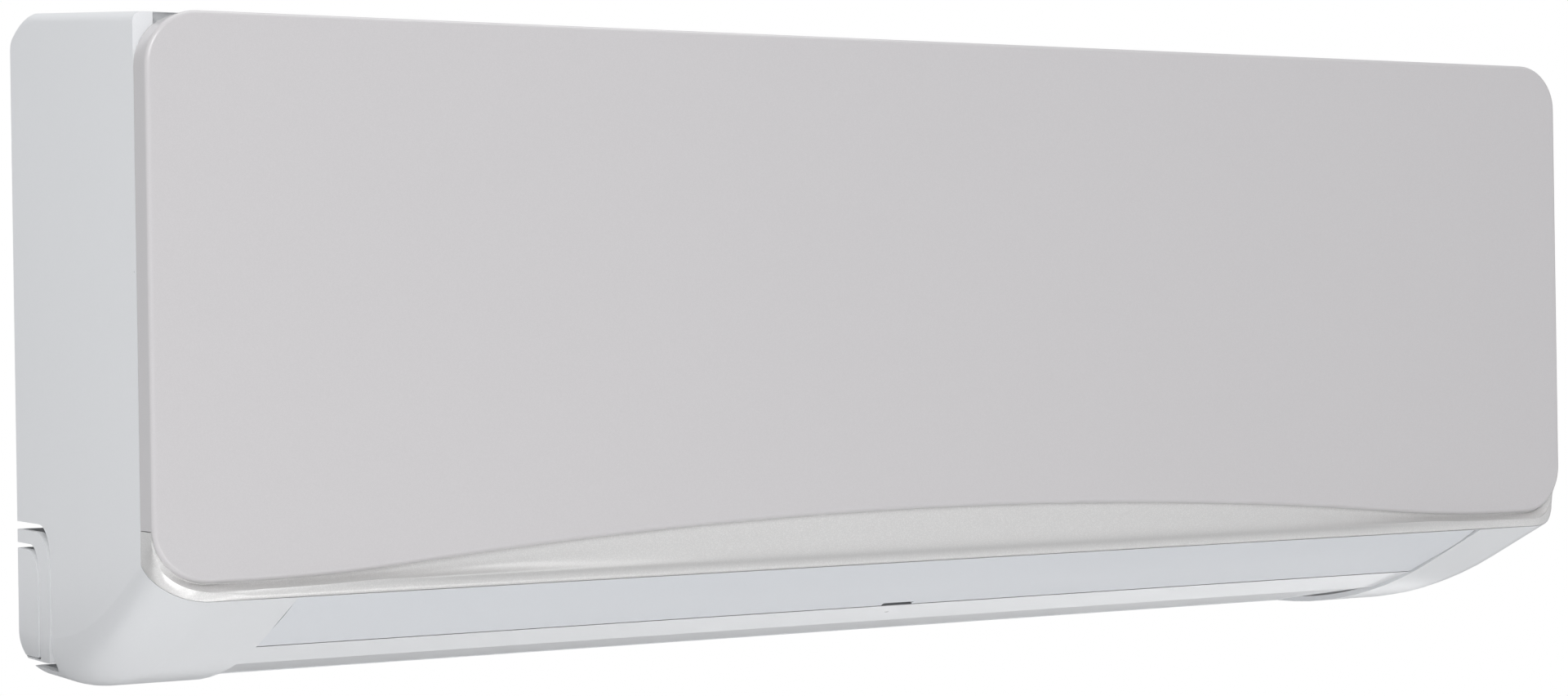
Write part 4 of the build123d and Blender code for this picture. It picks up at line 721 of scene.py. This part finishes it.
def trim_profile(place, far):
    """Closed outline at a station: distances in from the outer edge, and Y.

    It runs from the flange behind the panel down a concave ledge to the crease, over the rolled
    lip to the outer edge, and back inside."""
    wide = far > LEAST_FACE
    skin = sizes().trim_skin / MM
    behind = PANEL_FACE - 2.7
    near = min(max((HALF_WIDTH - abs(place[0])) / LIP_RUN, 0.0), 1.0)
    growth = min(1.0, 0.82 * (1 - (1 - near) ** 9) + 0.18 * (1 - (1 - near) ** 3))
    lip = behind + (PANEL_FACE + LIP_REACH - behind) * growth
    lip = max(lip, 0.1 - place[1]) if wide else behind
    deep = 0.1875 * (lip - behind) - lip
    edge = max(far - PANEL_GAP, 0.6)
    flange = 4.0 if wide else 2.2
    side = min(max((abs(place[0]) - SIDE_START) / SIDE_RUN, 0.0), 1.0)
    soft = min(1.3, 0.3 * edge) * (1 - side) + 0.62 * edge * side
    crease = max(min(CREASE, 0.62 * edge), soft + 0.02)
    dip = (lip - behind) * 0.22 * (1 - side)
    points = [(edge + flange, -behind), (edge, -behind)]
    for step in range(1, LEDGE_STEPS):
        part = step / LEDGE_STEPS
        bow = dip * 4 * part * (1 - part)
        points.append((edge + (crease - edge) * part - 0.3 * bow,
                       -behind + (deep + behind) * part ** 1.15 + 0.55 * bow))
    for step in range(ROLL_STEPS + 1):
        part = step / ROLL_STEPS
        points.append((crease + (soft - crease) * part,
                       deep - (lip + deep) * sin(pi / 2 * part)))
    for step in range(1, FOOT_STEPS + 1):
        turn = pi / 2 * step / FOOT_STEPS
        points.append((soft * (1 - sin(turn)), -lip + (place[1] + lip) * (1 - cos(turn))))
    foot, back = place[1], skin - behind
    points += [(0.0, foot),
               (skin, min(back, foot + skin) if wide else foot),
               (max(edge * 0.6, skin + 0.05), max(back, foot) if wide else back),
               (max(edge + 0.4, skin + 0.1), back), (edge + flange, back)]
    return points


def trim_piece():
    """The silver strip: a long concave ledge over a rolled lip, wrapping both corners."""
    shape = bmesh.new()
    rings = []
    for place, inward, far in trim_stations():
        ring = []
        for inside, y in trim_profile(place, far):
            x = place[0] + inward[0] * inside
            z = place[2] + inward[1] * inside
            if far > LEAST_FACE and y > -NOSE_DEPTH:
                z = max(z, min(above_seam(-y)[1], SEAM_TOP_Z + SEAM_RISE))
            ring.append(shape.verts.new(Vector((x, y, z)) * MM))
        rings.append(ring)
    for ring, after in zip(rings, rings[1:]):
        for step, dot in enumerate(ring):
            follow = (step + 1) % len(ring)
            shape.faces.new((dot, ring[follow], after[follow], after[step]))
    for ring in (rings[0], rings[-1]):
        shape.faces.new(ring)
    piece = finished(shape, "silver_trim_strip")
    smooth(piece, 40.0)
    return piece


# ------------------------------------------------------------------ flap
def skin_line(inset, first, last):
    """The flap's section from one distance down the slope to another, bulging near its top."""
    points = []
    for step in range(15):
        part = step / 14
        bulge = FLAP_BULGE * 6.75 * part * (1 - part) ** 2
        points.append(chin_point(first + (last - first) * part, inset - bulge))
    return points


def flap_piece():
    """The long flap: a shallow curved skin with ribs, ears, pins and the middle notch."""
    shape, notch, details = bmesh.new(), bmesh.new(), bmesh.new()
    outer = skin_line(FLAP_INSET, FLAP_TOP, FLAP_BOTTOM + FLAP_EDGE_REACH)
    inner = skin_line(FLAP_INSET + FLAP_SKIN, FLAP_TOP + 2.0, FLAP_BOTTOM - 0.4)
    prism(shape, outer + inner[::-1], -FLAP_HALF, FLAP_HALF)
    ends = [Vector((0, *point)) * MM for point in (outer[0], outer[-1])]
    long_edges = [e for e in shape.edges
                  if abs(e.verts[0].co.x - e.verts[1].co.x) > 0.1
                  and any((e.verts[0].co * Vector((0, 1, 1)) - end).length < 1e-5 for end in ends)]
    soften(shape, long_edges, sizes().flap_edge, 4)
    piece = finished(shape, "flap_skin")
    top, bottom = FLAP_BOTTOM - 2.6, FLAP_BOTTOM + 2
    prism(notch, [chin_point(top, -3), chin_point(bottom, -3), chin_point(bottom, 5),
                  chin_point(top, 5)], -NOTCH_HALF, NOTCH_HALF)
    carve(piece, finished(notch, "notch"))
    rib_end = FLAP_INSET + FLAP_SKIN + 3.0
    for along in FLAP_RIBS:
        prism(details, [chin_point(along, FLAP_SKIN), chin_point(along + 1.6, FLAP_SKIN),
                        chin_point(along + 1.4, rib_end), chin_point(along + 0.2, rib_end)],
              -FLAP_HALF + 6, FLAP_HALF - 6)
    pin_y, pin_z = FLAP_AXIS
    ear = [chin_point(FLAP_BOTTOM - 14, FLAP_SKIN), chin_point(FLAP_BOTTOM - 1.0, FLAP_SKIN + 0.6),
           (pin_y + 4.0, pin_z - 2.5), (pin_y + 3.2, pin_z + 3.2), (pin_y - 3.2, pin_z + 4.2)]
    for low_x, width in ((-FLAP_HALF, EAR_WIDTH), (FLAP_HALF - EAR_WIDTH, EAR_WIDTH),
                         (-10.0, 2.0), (8.0, 2.0)):
        prism(details, ear, low_x, low_x + width)
    pin(details, pin_y, pin_z, 2.0, -9.0, 9.0)
    pin(details, pin_y, pin_z, 2.5, -FLAP_HALF - 7.0, -FLAP_HALF + 1.0)
    join(piece, details)
    smooth(piece)
    return piece


# ------------------------------------------------------------------ operators
class AIRUNIT_OT_front_panel(bpy.types.Operator):
    """Build the glossy front panel with its rounded edge, rim and hinge arms"""

    bl_idname = "airunit.front_panel"
    bl_label = "Front panel"

    def execute(self, context):
        settle(panel_piece(), "panel_paint", "panel", "front_panel")
        return {"FINISHED"}


class AIRUNIT_OT_silver_trim(bpy.types.Operator):
    """Build the silver trim under the front panel"""

    bl_idname = "airunit.silver_trim"
    bl_label = "Silver trim"

    def execute(self, context):
        settle(trim_piece(), "silver_paint", "unit", "silver_trim")
        return {"FINISHED"}


class AIRUNIT_OT_flap(bpy.types.Operator):
    """Build the flap that closes the air outlet"""

    bl_idname = "airunit.flap"
    bl_label = "Flap"

    def execute(self, context):
        settle(flap_piece(), "flap_plastic", "flap", "louver")
        return {"FINISHED"}


class AIRUNIT_OT_finishes(bpy.types.Operator):
    """Make every finish and give each of the frame's own nodes the one of its slot"""

    bl_idname = "airunit.finishes"
    bl_label = "Finishes"

    def execute(self, context):
        made = finishes()
        for row in RECORD["subparts"]:
            node = frame["nodes"][row["node"]]
            if not node.material_slots:
                raise RuntimeError(f"{row['node']} has no material slot")
            for slot in node.material_slots:
                slot.material = made[row["material_slot"]]
        return {"FINISHED"}


def soft_light(name, place, aim, size, power):
    """An area light at a place in metres that shines towards a point."""
    data = bpy.data.lights.new(name, "AREA")
    data.shape = "RECTANGLE"
    data.size, data.size_y = size
    data.energy = power
    lamp = bpy.data.objects.new(name, data)
    lamp.location = place
    lamp.rotation_mode = "QUATERNION"
    lamp.rotation_quaternion = (Vector(aim) - Vector(place)).to_track_quat("-Z", "Y")
    bpy.context.scene.collection.objects.link(lamp)


def flat_sheet(name, place, half_size, material):
    """A flat piece of the stage: the floor or a card."""
    shape = bmesh.new()
    bmesh.ops.create_grid(shape, x_segments=1, y_segments=1, size=half_size, matrix=place)
    sheet = finished(shape, name)
    dress(sheet, material)
    return sheet


def card_black():
    """Matt black paper for the card that stands in for the shade under the unit."""
    finish = Finish("card_black", 0.9)
    tone = finish.noise(4.0)
    finish.feed("Base Color", finish.blend(tone, (0.02, 0.02, 0.02), (0.03, 0.03, 0.03)))
    return finish.material


def white_world():
    """An even white sky that the camera sees as plain white, dimmer as a light."""
    world = bpy.data.worlds.new("white_room")
    world.use_nodes = True
    nodes, links = world.node_tree.nodes, world.node_tree.links
    nodes.clear()
    seen, lit = nodes.new("ShaderNodeBackground"), nodes.new("ShaderNodeBackground")
    seen.inputs["Color"].default_value = (1.0, 1.0, 1.0, 1.0)
    seen.inputs["Strength"].default_value = SKY_SEEN
    lit.inputs["Color"].default_value = (0.97, 0.98, 1.0, 1.0)
    lit.inputs["Strength"].default_value = SKY_LIGHT
    mix, path = nodes.new("ShaderNodeMixShader"), nodes.new("ShaderNodeLightPath")
    out = nodes.new("ShaderNodeOutputWorld")
    links.new(path.outputs["Is Camera Ray"], mix.inputs[0])
    links.new(lit.outputs[0], mix.inputs[1])
    links.new(seen.outputs[0], mix.inputs[2])
    links.new(mix.outputs[0], out.inputs[0])
    bpy.context.scene.world = world


def photo_camera():
    """The camera at the photograph's viewing angle, left of the unit and level with it."""
    right = Vector((cos(CAMERA_YAW), -sin(CAMERA_YAW), 0))
    level = Vector((sin(CAMERA_YAW), cos(CAMERA_YAW), 0))
    up = Vector((0, 0, 1))
    ahead = level * cos(CAMERA_PITCH) + up * sin(CAMERA_PITCH)
    above = up * cos(CAMERA_PITCH) - level * sin(CAMERA_PITCH)
    across = right * cos(CAMERA_ROLL) + above * sin(CAMERA_ROLL)
    over = above * cos(CAMERA_ROLL) - right * sin(CAMERA_ROLL)
    data = bpy.data.cameras.new("photo_camera")
    data.lens = CAMERA_LENS
    data.sensor_width = 36.0
    data.clip_start, data.clip_end = 0.05, 50.0
    camera = bpy.data.objects.new("photo_camera", data)
    turn = Matrix((across, over, -ahead)).transposed()
    camera.matrix_world = Matrix.Translation(CAMERA_PLACE) @ turn.to_4x4()
    bpy.context.scene.collection.objects.link(camera)
    bpy.context.scene.camera = camera


class AIRUNIT_OT_stage(bpy.types.Operator):
    """Set up the floor, the soft lights, the white room and the camera"""

    bl_idname = "airunit.stage"
    bl_label = "Stage"

    def execute(self, context):
        drop = Matrix.Translation((0, 0, CAD_BOX[0][2] - sizes().floor_drop))
        flat_sheet("floor", drop, sizes().floor_size / 2, floor_paint())
        white_world()
        for light in LIGHTS:
            soft_light(*light)
        # Painted shade: a black card stands in for the shade under the unit. It is hidden from the
        # camera and shows only as a darker reflection in the glossy underside.
        place = Matrix.Translation(CARD_PLACE) @ Matrix.Rotation(pi / 2, 4, "X")
        card = flat_sheet("shade_card", place @ Matrix.Diagonal(CARD_HALF), 1.0, card_black())
        card.visible_camera = False     # only the unit's glossy underside sees it
        photo_camera()
        context.scene.view_settings.view_transform = "Standard"
        return {"FINISHED"}


class AIRUNIT_PT_looks(bpy.types.Panel):
    """Lists the unit's sizes, colours and building steps"""

    bl_idname = "AIRUNIT_PT_looks"
    bl_label = "Air unit looks"
    bl_space_type = "VIEW_3D"
    bl_region_type = "UI"
    bl_category = "Air unit"

    def draw(self, context):
        layout = self.layout
        for group in (context.scene.air_unit_sizes, context.scene.air_unit_colours):
            box = layout.box()
            for name in group.__annotations__:
                box.prop(group, name)
        for step in STEPS:
            layout.operator(step.bl_idname)


STEPS = (
    AIRUNIT_OT_finishes, AIRUNIT_OT_front_panel, AIRUNIT_OT_silver_trim,
    AIRUNIT_OT_flap, AIRUNIT_OT_stage,
)
CLASSES = (AirUnitSizes, AirUnitColours) + STEPS + (AIRUNIT_PT_looks,)


def register():
    for item in CLASSES:
        bpy.utils.register_class(item)
    bpy.types.Scene.air_unit_sizes = bpy.props.PointerProperty(type=AirUnitSizes)
    bpy.types.Scene.air_unit_colours = bpy.props.PointerProperty(type=AirUnitColours)


def unregister():
    del bpy.types.Scene.air_unit_colours
    del bpy.types.Scene.air_unit_sizes
    for item in reversed(CLASSES):
        bpy.utils.unregister_class(item)


def main():
    register()
    bpy.ops.airunit.finishes()
    bpy.ops.airunit.front_panel()
    bpy.ops.airunit.silver_trim()
    bpy.ops.airunit.flap()
    bpy.ops.airunit.stage()


if __name__ == "__main__":
    main()
